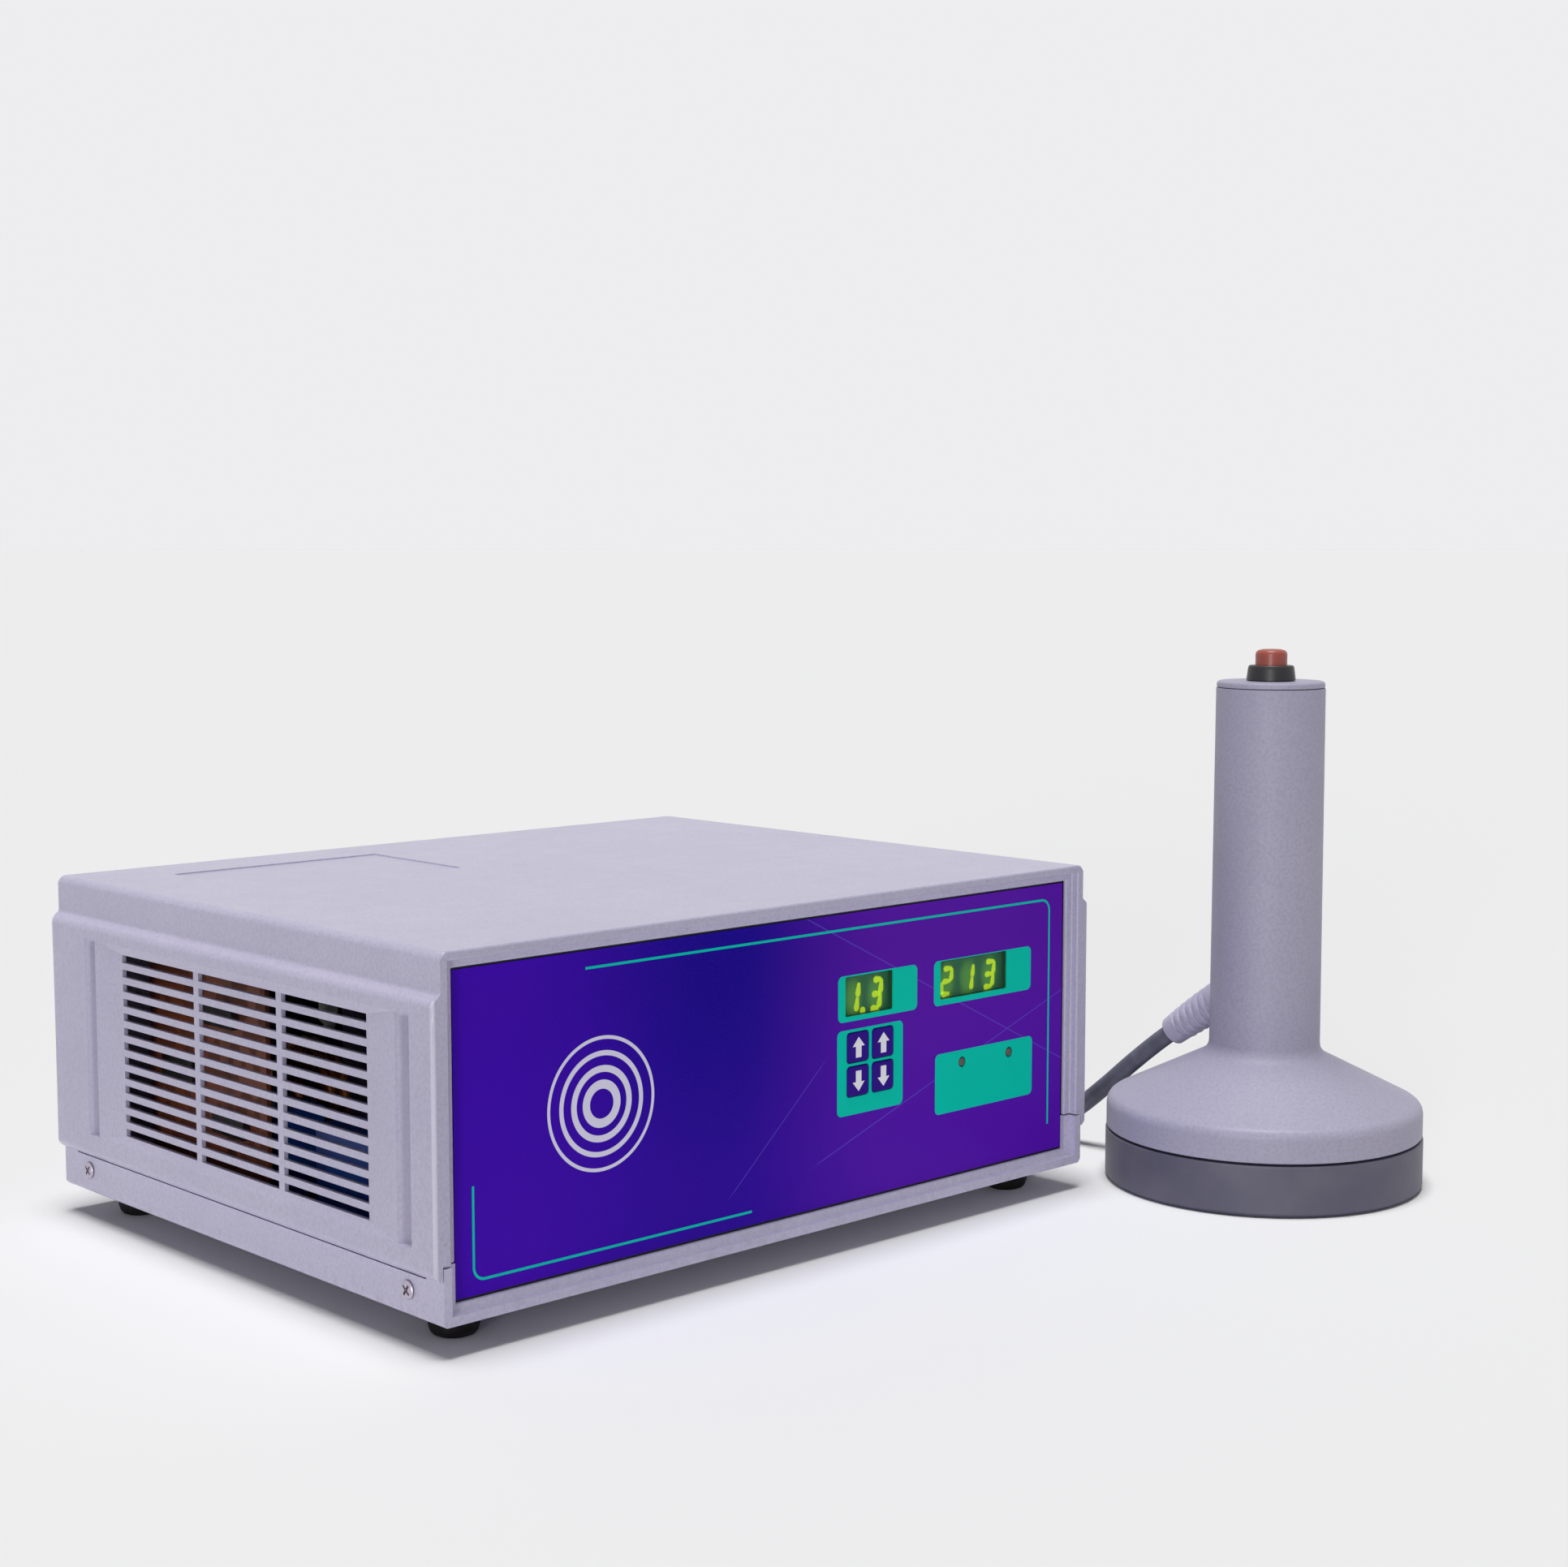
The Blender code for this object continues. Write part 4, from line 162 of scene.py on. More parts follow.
def shell_plastic(name, depth=1.0, rough=0.26, marks_and_painted_light=None):
    """Light grey ABS: faint clouding, specks and spark texture. A given function adds a piece's own marks and
    painted light.
    """

    def grey(red, green, blue):
        return shade(red * depth, green * depth, blue * depth)

    made, shader, place = new_finish(name, grey(187, 183, 207), 0.5)
    clouds = place.noise(0.05, 3.0, 0.6)
    colour = clouds.rise(0.25, 0.75).tint(grey(183, 179, 204), grey(190, 185, 208))
    mottle = place.noise(0.0011)
    colour = (mottle.rise(0.35, 0.70) * 0.5).tint(colour, grey(168, 163, 188))
    specks = place.noise(0.0021, 1.0).rise(0.74, 0.80)
    colour = (specks * 0.25).tint(colour, shade(136, 130, 150))
    if marks_and_painted_light is not None:
        colour = marks_and_painted_light(place, colour)
    feed(shader, "Base Color", colour)
    feed(shader, "Roughness", rough + 0.14 * place.noise(0.012))
    roughen(shader, place.noise(0.00055) + 0.5 * place.noise(0.0018, 1.0), 0.000025)
    return made


def give(piece, finish, body, slot, *stands_for):
    """Puts the only material on a piece, ties it to its body and hides the CAD nodes that it stands for."""
    piece.data.materials.clear()
    piece.data.materials.append(finish)
    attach(piece, body)
    if stands_for:
        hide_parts(*stands_for)
    return piece


def only(piece):
    """Makes a piece the one that is selected and worked on."""
    if bpy.context.mode != "OBJECT":
        bpy.ops.object.mode_set(mode="OBJECT")
    bpy.ops.object.select_all(action="DESELECT")
    piece.select_set(True)
    bpy.context.view_layer.objects.active = piece
    return piece


def pick_points(piece, wanted):
    """Opens a piece in edit mode with only its wanted points selected."""
    only(piece)
    bpy.ops.object.mode_set(mode="EDIT")
    bpy.ops.mesh.select_mode(type="VERT")
    bpy.ops.mesh.select_all(action="DESELECT")
    bpy.ops.object.mode_set(mode="OBJECT")
    for vertex in piece.data.vertices:
        vertex.select = wanted(vertex.co)
    bpy.ops.object.mode_set(mode="EDIT")


def sharp_edges(solid, angle, wanted):
    """The edges sharper than the angle whose middle is wanted."""
    found = []
    for edge in solid.edges:
        if len(edge.link_faces) == 2 and edge.calc_face_angle() > math.radians(angle):
            if wanted((edge.verts[0].co + edge.verts[1].co) / 2):
                found.append(edge)
    return found


def round_edges(piece, width, segments, angle, wanted):
    """Bevels the edges sharper than the angle whose middle is wanted."""
    only(piece)
    solid = bmesh.new()
    solid.from_mesh(piece.data)
    chosen = [edge.index for edge in sharp_edges(solid, angle, wanted)]
    solid.free()
    bpy.ops.object.mode_set(mode="EDIT")
    bpy.ops.mesh.select_mode(type="EDGE")
    bpy.ops.mesh.select_all(action="DESELECT")
    bpy.ops.object.mode_set(mode="OBJECT")
    for index in chosen:
        piece.data.edges[index].select = True
    bpy.ops.object.mode_set(mode="EDIT")
    bpy.ops.mesh.bevel(offset=width, segments=segments, affect="EDGES", clamp_overlap=False)
    bpy.ops.object.mode_set(mode="OBJECT")


def settle(piece, name, round_by=0.0, segments=2, angle=35):
    """Moves a piece's place into its mesh, rounds its edges and smooths them into its flat faces."""
    only(piece)
    piece.name = name
    piece.data.name = name
    bpy.ops.object.transform_apply(location=True, rotation=True, scale=True)
    if round_by:
        edge = piece.modifiers.new("edge", "BEVEL")
        edge.width = round_by
        edge.segments = segments
        edge.limit_method = "ANGLE"
        edge.angle_limit = math.radians(angle)
        edge.use_clamp_overlap = False
        bpy.ops.object.modifier_apply(modifier=edge.name)
    bpy.ops.object.shade_smooth_by_angle(angle=math.radians(angle))
    flat = piece.modifiers.new("flat_faces", "WEIGHTED_NORMAL")
    flat.keep_sharp = True
    bpy.ops.object.modifier_apply(modifier=flat.name)
    return piece


def taken(name, node, round_by=0.0, segments=2, angle=35, cuts=()):
    """A copy of a CAD node's solid, welded and tidied, with its edges rounded as the mould rounds them.

    Each cut is a plane that divides its faces, so that a face with many holes in it rounds cleanly.
    """
    mesh = nodes[node].data.copy()
    piece = bpy.data.objects.new(name, mesh)
    bpy.context.collection.objects.link(piece)
    only(piece)
    bpy.ops.object.mode_set(mode="EDIT")
    bpy.ops.mesh.select_all(action="SELECT")
    bpy.ops.mesh.remove_doubles(threshold=0.000002)
    bpy.ops.mesh.dissolve_limited(angle_limit=math.radians(0.5))
    for point, normal in cuts:
        bpy.ops.mesh.select_all(action="SELECT")
        bpy.ops.mesh.bisect(plane_co=point, plane_no=normal)
    bpy.ops.object.mode_set(mode="OBJECT")
    return settle(piece, name, round_by, segments, angle)


SEAM = 0.0003
SEAM_CLOSED_BY = 0.00015
END_STEP = 0.0048
TRAY_EDGE = 0.0005
STEP_FOUND_WITHIN = 0.00005
DUST_TALL = 0.008
cover_low, cover_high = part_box("top_cover")
tray_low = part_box("bottom_tray")[0]
low_step = cover_low[2] - SEAM
high_step = low_step + END_STEP


def darker_low_down(place, colour):
    height = place.axes()[2]
    # Darker towards the bottom of the tray, in noisy patches.
    darkening = height.rise(tray_low[2] + DUST_TALL, tray_low[2]) * place.noise(0.004, 3.0).rise(0.45, 0.7)
    return (darkening * 0.25).tint(colour, shade(150, 140, 150))


def on_a_step(point):
    return min(abs(point.z - low_step), abs(point.z - high_step)) < STEP_FOUND_WITHIN


# The tray's grey is painted 4% lighter than the cover's: painted light, for the brighter light on its sides.
tray_finish = shell_plastic("tray_abs_painted_lighter", 1.04, marks_and_painted_light=darker_low_down)
tray = taken("case_tray", "bottom_tray")
round_edges(tray, TRAY_EDGE, 3, 35, lambda point: point.z < low_step - 0.001)
pick_points(tray, on_a_step)
bpy.ops.transform.translate(value=(0, 0, SEAM_CLOSED_BY))
bpy.ops.object.mode_set(mode="OBJECT")
give(settle(tray, "case_tray"), tray_finish, "base", "housing_plastic", "bottom_tray")

# Four domed feet are pushed into the tray from below and carry the unit.
# They are moulded in soft black rubber and are a little dusty.
foot_rubber, foot_shader, place = new_finish(
    "foot_rubber", shade(12, 9, 11), 0.7, {"Specular IOR Level": 0.25}
)
foot_dust = place.noise(0.003, 3.0).rise(0.4, 0.8)
feed(foot_shader, "Base Color", foot_dust.tint(shade(8, 5, 7), shade(24, 20, 24)))
roughen(foot_shader, place.noise(0.0008), 0.00004)


def turned(name, centre, profile, steps=64, round_by=0.0, segments=2, angle=35):
    """A ring is drawn out from one (radius, height) to the next round an upright axis, then closed."""
    radius, height = profile[0]
    middle = (centre[0], centre[1])
    bpy.ops.object.select_all(action="DESELECT")
    bpy.ops.mesh.primitive_circle_add(vertices=steps, radius=radius, location=(*middle, height))
    piece = bpy.context.object
    bpy.ops.object.mode_set(mode="EDIT")
    bpy.ops.mesh.select_all(action="SELECT")
    for new_radius, new_height in profile[1:]:
        move = {"value": (0, 0, new_height - height)}
        bpy.ops.mesh.extrude_region_move(TRANSFORM_OT_translate=move)
        share = new_radius / radius
        if abs(share - 1) > 1e-6:
            bpy.ops.transform.resize(value=(share, share, 1), center_override=(*middle, new_height))
        radius, height = new_radius, new_height
    bpy.ops.mesh.select_all(action="SELECT")
    bpy.ops.mesh.remove_doubles(threshold=0.000004)
    bpy.ops.mesh.normals_make_consistent(inside=False)
    bpy.ops.object.mode_set(mode="OBJECT")
    return settle(piece, name, round_by, segments, angle)


NEARLY_NONE = 0.000001
FOOT_RADIUS = 0.0087
foot_dome = [(0.0082, 0.0052), (0.0078, 0.0028), (0.0072, 0.0012), (0.0065, 0.0004), (0.0056, 0.0)]
for node in ("foot_front_left", "foot_front_right", "foot_rear_left", "foot_rear_right"):
    low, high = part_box(node)
    middle = ((low[0] + high[0]) / 2, (low[1] + high[1]) / 2)
    foot_top = [(NEARLY_NONE, high[2]), (FOOT_RADIUS, high[2]), (FOOT_RADIUS - 0.0001, high[2] - 0.0012)]
    foot = turned("rubber_" + node, middle, foot_top + foot_dome + [(NEARLY_NONE, 0.0)], 40)
    give(foot, foot_rubber, "base", "foot_rubber", node)

# The front panel is a black plate that stands in the ledges of tray and cover, under a printed film.
# The film is violet and deep blue, with four turquoise fields for the displays, keys and lamps, a thin
# turquoise border in two lengths, four plain rings and three faint lines.
plate_black, plate_shader, place = new_finish("plate_black", shade(12, 11, 14), 0.5)
feed(plate_shader, "Roughness", 0.4 + 0.2 * place.noise(0.01))
give(taken("black_plate", "front_plate"), plate_black, "base", "black_plastic", "front_plate")

PRINT_EDGE = 0.00006
FIELD_CORNER = 0.0020
TIME_FIELD = (0.1631, 0.2011, 0.0671, 0.0827)
VOLTAGE_FIELD = (0.2095, 0.2601, 0.0668, 0.0825)
KEY_FIELD = (0.1627, 0.1941, 0.0353, 0.0643)
LAMP_FIELD = (0.2103, 0.2612, 0.0285, 0.0498)
BORDER = (0.0135, 0.2700, 0.0108, 0.0983)
BORDER_CORNER = 0.0040
BORDER_WIDE = 0.0008
UPPER_RUN_FROM_X = 0.0560
UPPER_RUN_TO_Z = 0.0160
LOWER_RUN_FROM_Z = 0.0390
LOWER_RUN_TO_X = 0.1240
RUN_END = 0.0001
RING_X = 0.0620
RING_Z = 0.0560
FIRST_RING = 0.0060
RING_PITCH = 0.0048
RING_WIDTHS = (0.0028, 0.0021, 0.0016, 0.0011)
FAINT_WIDE = 0.0004
BLUE_AT = 0.115
LEFT_VIOLET_AT = 0.020
RIGHT_VIOLET_AT = 0.190
LOW_VIOLET_FROM = 0.075
LOW_VIOLET_TO = 0.020
film, film_shader, place = new_finish("printed_film", shade(48, 14, 136), 0.4, {"Specular IOR Level": 0.04})
film_x, _, film_z = place.axes()
film_x = film_x - tray_low[0]
film_z = film_z - tray_low[2]


def outside_of(field, corner):
    """How far a place on the film is outside a field with round corners, and less than 0 in it.

    A field is its left, right, low and high edge, in metres from the left and lower edges of the tray.
    """
    left, right, low, high = field
    dx = (film_x - (left + right) / 2).size() - ((right - left) / 2 - corner)
    dz = (film_z - (low + high) / 2).size() - ((high - low) / 2 - corner)
    round_the_corner = (dx.most(0) * dx.most(0) + dz.most(0) * dz.most(0)).root()
    return round_the_corner + dx.most(dz).least(0) - corner


def printed_line(distance, width):
    """1 on a line of that width, from the distance to its middle."""
    return distance.size().rise(width / 2 + PRINT_EDGE, width / 2 - PRINT_EDGE)


def faint_line(through_x, through_z, slope):
    """1 on a thin sloping line through a place on the film."""
    return printed_line(film_z - through_z - (film_x - through_x) * slope, FAINT_WIDE)


clouds = place.noise(0.09)
left_violet = (film_x.rise(BLUE_AT, LEFT_VIOLET_AT) * 0.9 + 0.3 * (clouds - 0.5)).most(0).least(1)
right_violet = (film_x.rise(BLUE_AT, RIGHT_VIOLET_AT) * 0.95 + 0.3 * (clouds - 0.5)).most(0).least(1)
ground = left_violet.tint(shade(26, 3, 150), shade(68, 5, 184))
ground = right_violet.tint(ground, shade(96, 24, 178))
ground = (film_z.rise(LOW_VIOLET_FROM, LOW_VIOLET_TO) * 0.35).tint(ground, shade(74, 12, 184))
print_grain = place.noise(0.0005, 1.0)
ground = (print_grain.rise(0.45, 0.75) * 0.16).tint(ground, shade(96, 34, 210))
faint = faint_line(0.150, 0.020, 0.35) * film_x.rise(0.150, 0.158)
faint = faint.most(faint_line(0.120, 0.118, -0.5) * film_x.rise(0.136, 0.140))
faint = faint.most(faint_line(0.100, 0.004, 0.9) * film_x.rise(0.112, 0.118) * film_x.rise(0.160, 0.152))
ground = (faint * 0.6).tint(ground, shade(104, 84, 210))
upper_run = film_z.rise(UPPER_RUN_TO_Z, UPPER_RUN_TO_Z + RUN_END)
upper_run = upper_run * film_x.rise(UPPER_RUN_FROM_X, UPPER_RUN_FROM_X + RUN_END)
lower_run = film_z.rise(LOWER_RUN_FROM_Z + RUN_END, LOWER_RUN_FROM_Z)
lower_run = lower_run * film_x.rise(LOWER_RUN_TO_X + RUN_END, LOWER_RUN_TO_X)
turquoise = printed_line(outside_of(BORDER, BORDER_CORNER), BORDER_WIDE) * upper_run.most(lower_run)
for field in (TIME_FIELD, VOLTAGE_FIELD, KEY_FIELD, LAMP_FIELD):
    turquoise = turquoise.most(outside_of(field, FIELD_CORNER).rise(PRINT_EDGE, -PRINT_EDGE))
ground = turquoise.tint(ground, shade(0, 205, 182))
ring_x = film_x - RING_X
ring_z = film_z - RING_Z
from_the_middle = (ring_x * ring_x + ring_z * ring_z).root() - FIRST_RING
rings = printed_line(from_the_middle, RING_WIDTHS[0])
for ring in range(1, len(RING_WIDTHS)):
    rings = rings.most(printed_line(from_the_middle - ring * RING_PITCH, RING_WIDTHS[ring]))
ground = (rings * 0.92).tint(ground, shade(236, 232, 250))
feed(film_shader, "Base Color", ground)
feed(film_shader, "Roughness", 0.27 + 0.14 * place.noise(0.02, 3.0))
roughen(film_shader, place.noise(0.0009, 1.0), 0.000008)
give(taken("front_film", "panel_overlay"), film, "base", "panel_film", "panel_overlay")

# Each display is a module of slanted seven-bar digits that glow yellow-green through a green window.
# The windows are thin tinted plastic, set in the cut-outs of plate and film. The numbers are plain ones.
window_green, window_shader, place = new_finish(
    "window_green", shade(40, 110, 70), 0.15, {"Alpha": 0.22, "Specular IOR Level": 0.2}
)
feed(window_shader, "Roughness", 0.10 + 0.08 * place.noise(0.006))
for node in ("time_window", "voltage_window"):
    give(taken("green_" + node, node, 0.0002), window_green, "base", "green_window", node)

SLANT = math.radians(8)
DIGIT_WIDE = 0.0066
DIGIT_TALL = {"time_display": 0.0122, "voltage_display": 0.0110}
DIGIT_PITCH = {"time_display": 0.0109, "voltage_display": 0.0110}
BAR_THICK = {"time_display": 0.0025, "voltage_display": 0.0022}
FIRST_DIGIT = {"time_display": 0.0070, "voltage_display": 0.0066}
DIGIT_DROP = 0.0012
BAR_DEEP = 0.00024
BAR_OVERLAP = 0.10
BAR_SUNK = 0.00002
POINT_BEFORE = 0.59
HALO_WIDE = 0.0052
HALO_TALL = 0.0078
module_face, module_shader, place = new_finish(
    "display_module", shade(60, 134, 86), 0.5, {"Emission Strength": 0.35}
)
across, _, upright = place.axes()
# A painted glow lights the module's face, brightest round each digit.
painted_halo = None
for node, count in (("time_display", 2), ("voltage_display", 3)):
    low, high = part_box(node)
    for digit in range(count):
        from_x = (across - (low[0] + FIRST_DIGIT[node] + digit * DIGIT_PITCH[node])) / HALO_WIDE
        from_z = (upright - (low[2] + high[2]) / 2 + DIGIT_DROP) / HALO_TALL
        lump = (from_x * from_x + from_z * from_z).rise(1.0, 0.0)
        painted_halo = lump if painted_halo is None else painted_halo.most(lump)
feed(module_shader, "Base Color", place.noise(0.005).tint(shade(50, 118, 82), shade(66, 138, 90)))
feed(module_shader, "Emission Color", painted_halo.tint(shade(10, 44, 32), shade(120, 190, 40)))
for node in ("time_display", "voltage_display"):
    give(taken("green_" + node, node, 0.0003), module_face, "base", "display_module", node)

digit_glow, digit_shader, place = new_finish(
    "digit_glow", shade(190, 225, 10), 0.5, {"Emission Strength": 0.75}
)
glow = place.noise(0.0009, 1.0)
feed(digit_shader, "Emission Color", glow.tint(shade(180, 225, 0), shade(225, 245, 20)))

BARS_OF = {"1": "bc", "2": "abged", "3": "abgcd"}
# Each bar's place right and up of a digit's middle, in half widths and heights, and if it is level.
BAR_PLACES = {
    "a": (0, 1, True),
    "b": (1, 0.5, False),
    "c": (1, -0.5, False),
    "d": (0, -1, True),
    "e": (-1, -0.5, False),
    "g": (0, 0, True),
}


def digit_bar(centre, bar, tall, thick):
    """One bar of a digit: a small block with pointed ends."""
    right, up, level = BAR_PLACES[bar]
    rise = up * (tall - thick) / 2
    middle = centre + Vector((right * (DIGIT_WIDE - thick) / 2 + rise * math.tan(SLANT), 0, rise))
    long = DIGIT_WIDE - thick if level else (tall - thick) / 2 + BAR_OVERLAP * thick
    bpy.ops.mesh.primitive_cylinder_add(
        vertices=6, radius=thick / 2, depth=BAR_DEEP, location=middle, rotation=(math.pi / 2, 0, 0)
    )
    block = bpy.context.object
    bpy.ops.object.transform_apply(location=False, rotation=True, scale=False)
    half = long / 2 - thick / 2
    for vertex in block.data.vertices:
        vertex.co.x += half if vertex.co.x > 0 else -half
    block.rotation_euler = (0, 0 if level else SLANT - math.pi / 2, 0)
    return block


def joined(pieces, name):
    """Makes small blocks one piece."""
    for piece in pieces:
        only(piece)
        bpy.ops.object.transform_apply(location=True, rotation=True, scale=True)
    only(pieces[0])
    for piece in pieces:
        piece.select_set(True)
    bpy.ops.object.join()
    return settle(bpy.context.object, name)


def glowing_figure(name, text, node):
    """The lit bars of one display, and its point."""
    low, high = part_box(node)
    tall, thick, pitch = DIGIT_TALL[node], BAR_THICK[node], DIGIT_PITCH[node]
    at = Vector((low[0] + FIRST_DIGIT[node], low[1] + BAR_SUNK, (low[2] + high[2]) / 2 - DIGIT_DROP))
    bars = []
    for sign in text:
        if sign == ".":
            spot = at + Vector((-POINT_BEFORE * pitch, 0, thick / 2 - tall / 2))
            bpy.ops.mesh.primitive_cylinder_add(
                vertices=16, radius=thick / 2, depth=BAR_DEEP, location=spot, rotation=(math.pi / 2, 0, 0)
            )
            bars.append(bpy.context.object)
            continue
        for bar in BARS_OF[sign]:
            bars.append(digit_bar(at, bar, tall, thick))
        at = at + Vector((pitch, 0, 0))
    return give(joined(bars, name), digit_glow, "base", "display_module")


glowing_figure("time_figure", "1.3", "time_display")
glowing_figure("voltage_figure", "213", "voltage_display")

# Four square keys stand just proud of the film, sprung on the board behind it.
# They are moulded in violet plastic, and each has a white arrow printed on its cap.
key_violet, key_shader, place = new_finish("key_violet", shade(40, 8, 120), 0.4, {"Specular IOR Level": 0.08})
feed(key_shader, "Base Color", place.noise(0.006).tint(shade(38, 4, 128), shade(54, 10, 148)))
roughen(key_shader, place.noise(0.0007), 0.000012)
arrow_white, arrow_shader, place = new_finish("arrow_ink", shade(226, 226, 238), 0.5)
feed(arrow_shader, "Base Color", place.noise(0.002).tint(shade(232, 232, 242), shade(248, 248, 252)))
ARROW_TALL = 0.0070
TIP_TALL = 0.0032
TIP_WIDE = 0.0056
STEM_WIDE = 0.0026
INK_THICK = 0.0001
tip_reach = TIP_WIDE / math.sqrt(3)
stem_tall = ARROW_TALL - TIP_TALL
for node in ("time_up_key", "time_down_key", "voltage_up_key", "voltage_down_key"):
    low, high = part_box(node)
    give(taken("square_" + node, node, 0.0001), key_violet, node, "key_film", node)
    way = 1 if "_up_" in node else -1
    middle = Vector(((low[0] + high[0]) / 2, low[1], (low[2] + high[2]) / 2))
    bpy.ops.mesh.primitive_cylinder_add(
        vertices=3,
        radius=tip_reach,
        depth=INK_THICK,
        location=middle + Vector((0, 0, way * (ARROW_TALL / 2 - TIP_TALL * 2 / 3))),
        rotation=(math.pi / 2, 0 if way > 0 else math.pi, 0),
    )
    tip = bpy.context.object
    only(tip)
    bpy.ops.object.transform_apply(location=False, rotation=True, scale=False)
    tip.scale = (1, 1, TIP_TALL / (1.5 * tip_reach))
    stem_centre = middle - Vector((0, 0, way * (ARROW_TALL / 2 - stem_tall / 2)))
    bpy.ops.mesh.primitive_cube_add(size=1, location=stem_centre)
    stem = bpy.context.object
    stem.scale = (STEM_WIDE, INK_THICK, stem_tall)
    give(joined([tip, stem], "arrow_of_" + node), arrow_white, node, "key_film")

# Two small lamps with domed lenses report that the unit is ready and that it heats.
# Their red lenses are unlit, and so they look brown-grey in the turquoise field.
lens_red, lens_shader, place = new_finish("lamp_red", shade(92, 84, 80), 0.35, {"Specular IOR Level": 0.3})
feed(lens_shader, "Base Color", place.noise(0.0012).tint(shade(80, 72, 70), shade(108, 98, 90)))
for node in ("ready_lamp", "heating_lamp"):
    give(taken("red_" + node, node, 0.0001), lens_red, "base", "lamp_lens", node)

# The rear panel is moulded in the case's ABS and stands in the ledges of tray and cover.
# It has a ringed opening in front of the fan, and cut-outs for the fittings.
rear_finish = shell_plastic("rear_abs")
give(taken("rear_plate", "rear_panel", 0.0002), rear_finish, "base", "housing_plastic", "rear_panel")

# The power switch, the mains inlet and the fuse holder are bought-in fittings of hard black plastic.
# They sit in cut-outs of the rear panel, with flanges on it. The rocker is red, with the usual white
# marks printed on it, and the inlet holds three plated pins.
fitting_black, fitting_shader, place = new_finish("fitting_black", shade(20, 19, 22), 0.42)
feed(fitting_shader, "Roughness", 0.34 + 0.18 * place.noise(0.004))
roughen(fitting_shader, place.noise(0.0005), 0.000015)
for node in ("power_switch_frame", "fuse_holder", "fuse_cap"):
    give(taken("black_" + node, node, 0.00025), fitting_black, "base", "black_plastic", node)

PIN_WIDE = 0.0020
PIN_TALL = 0.0040
PIN_SPREAD = 0.0070
PIN_OFFSET = 0.0020
PIN_LONG = 0.0155
inlet_low, inlet_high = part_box("mains_inlet")
inlet_finish, inlet_shader, place = new_finish("inlet_and_pins", shade(20, 19, 22), 0.42)
pin_x, pin_y, pin_z = place.axes()
pin_x = pin_x - (inlet_low[0] + inlet_high[0]) / 2
pin_z = pin_z - (inlet_low[2] + inlet_high[2]) / 2


def within_a_pin(from_x, from_z):
    """1 within a pin's section, from the distances to its middle."""
    across = from_x.size().rise(PIN_WIDE / 2 + 0.0002, PIN_WIDE / 2 + 0.0001)
    return across * from_z.size().rise(PIN_TALL / 2 + 0.0002, PIN_TALL / 2 + 0.0001)


outer_pins = within_a_pin(pin_x.size() - PIN_SPREAD, pin_z - PIN_OFFSET)
middle_pin = within_a_pin(pin_x, pin_z + PIN_OFFSET)
past_the_floor = pin_y.rise(inlet_high[1] - PIN_LONG, inlet_high[1] - PIN_LONG + 0.0003)
on_a_pin = outer_pins.most(middle_pin) * past_the_floor
feed(inlet_shader, "Base Color", on_a_pin.tint(shade(20, 19, 22), shade(196, 190, 182)))
feed(inlet_shader, "Metallic", on_a_pin)
feed(inlet_shader, "Roughness", 0.30 + 0.18 * place.noise(0.004))
give(taken("black_mains_inlet", "mains_inlet", 0.00025), inlet_finish, "base", "black_plastic", "mains_inlet")

MARK_SIZE = 0.0034
MARK_STROKE = 0.0007
MARK_THICK = 0.0001
UPPER_MARK_BACK = 0.00240
UPPER_MARK_UP = 0.0126
LOWER_MARK_BACK = 0.00093
LOWER_MARK_UP = 0.0042
LOWER_FACE_TURN = math.radians(17)
rocker_red, rocker_shader, place = new_finish("rocker_red", shade(176, 26, 30), 0.3)
feed(rocker_shader, "Roughness", 0.25 + 0.15 * place.noise(0.003))
give(taken("red_rocker", "power_rocker", 0.0004, 3), rocker_red, "power_rocker", "rocker_red", "power_rocker")
mark_white, mark_shader, place = new_finish("mark_white", shade(228, 226, 222), 0.45)
feed(mark_shader, "Base Color", place.noise(0.002).tint(shade(222, 220, 214), shade(236, 234, 230)))
rocker_low, rocker_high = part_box("power_rocker")
rocker_middle = (rocker_low[0] + rocker_high[0]) / 2
upper_face = (rocker_middle, rocker_high[1] - UPPER_MARK_BACK, rocker_low[2] + UPPER_MARK_UP)
lower_face = (rocker_middle, rocker_high[1] - LOWER_MARK_BACK, rocker_low[2] + LOWER_MARK_UP)
bpy.ops.object.select_all(action="DESELECT")
bpy.ops.mesh.primitive_cube_add(size=1, location=upper_face)
on_mark = bpy.context.object
on_mark.scale = (MARK_STROKE, MARK_THICK, MARK_SIZE)
bpy.ops.mesh.primitive_torus_add(
    location=lower_face,
    rotation=(math.pi / 2 + LOWER_FACE_TURN, 0, 0),
    major_segments=40,
    minor_segments=6,
    major_radius=(MARK_SIZE - MARK_STROKE) / 2,
    minor_radius=MARK_STROKE / 2,
)
off_mark = bpy.context.object
off_mark.scale = (1, 1, MARK_THICK / MARK_STROKE)
give(joined([on_mark, off_mark], "switch_marks"), mark_white, "power_rocker", "rocker_red")

# The fan is a bought-in square one in the rear panel, behind its rings, and blows the warm air out.
# Its frame and rotor are moulded in black plastic and are a little dusty.
fan_black, fan_shader, place = new_finish("fan_black", shade(26, 26, 29), 0.45)
fan_dust = place.noise(0.004, 3.0).rise(0.4, 0.9)
feed(fan_shader, "Base Color", fan_dust.tint(shade(22, 22, 25), shade(60, 58, 60)))
give(taken("black_fan_frame", "fan_frame", 0.0003), fan_black, "base", "black_plastic", "fan_frame")
give(taken("black_fan_rotor", "fan_rotor", 0.00015), fan_black, "fan_rotor", "black_plastic", "fan_rotor")

# Inside, a brown laminate board stands on the tray's posts and carries the power parts. A second board
# stands upright behind the left slots, and a third behind the front plate. They show only a little through
# the slots: the boards, the aluminium fins, the blue and black capacitors, the copper of the coils.
CHIP_THICK = 0.0030
CHIP_EDGE = 0.0003


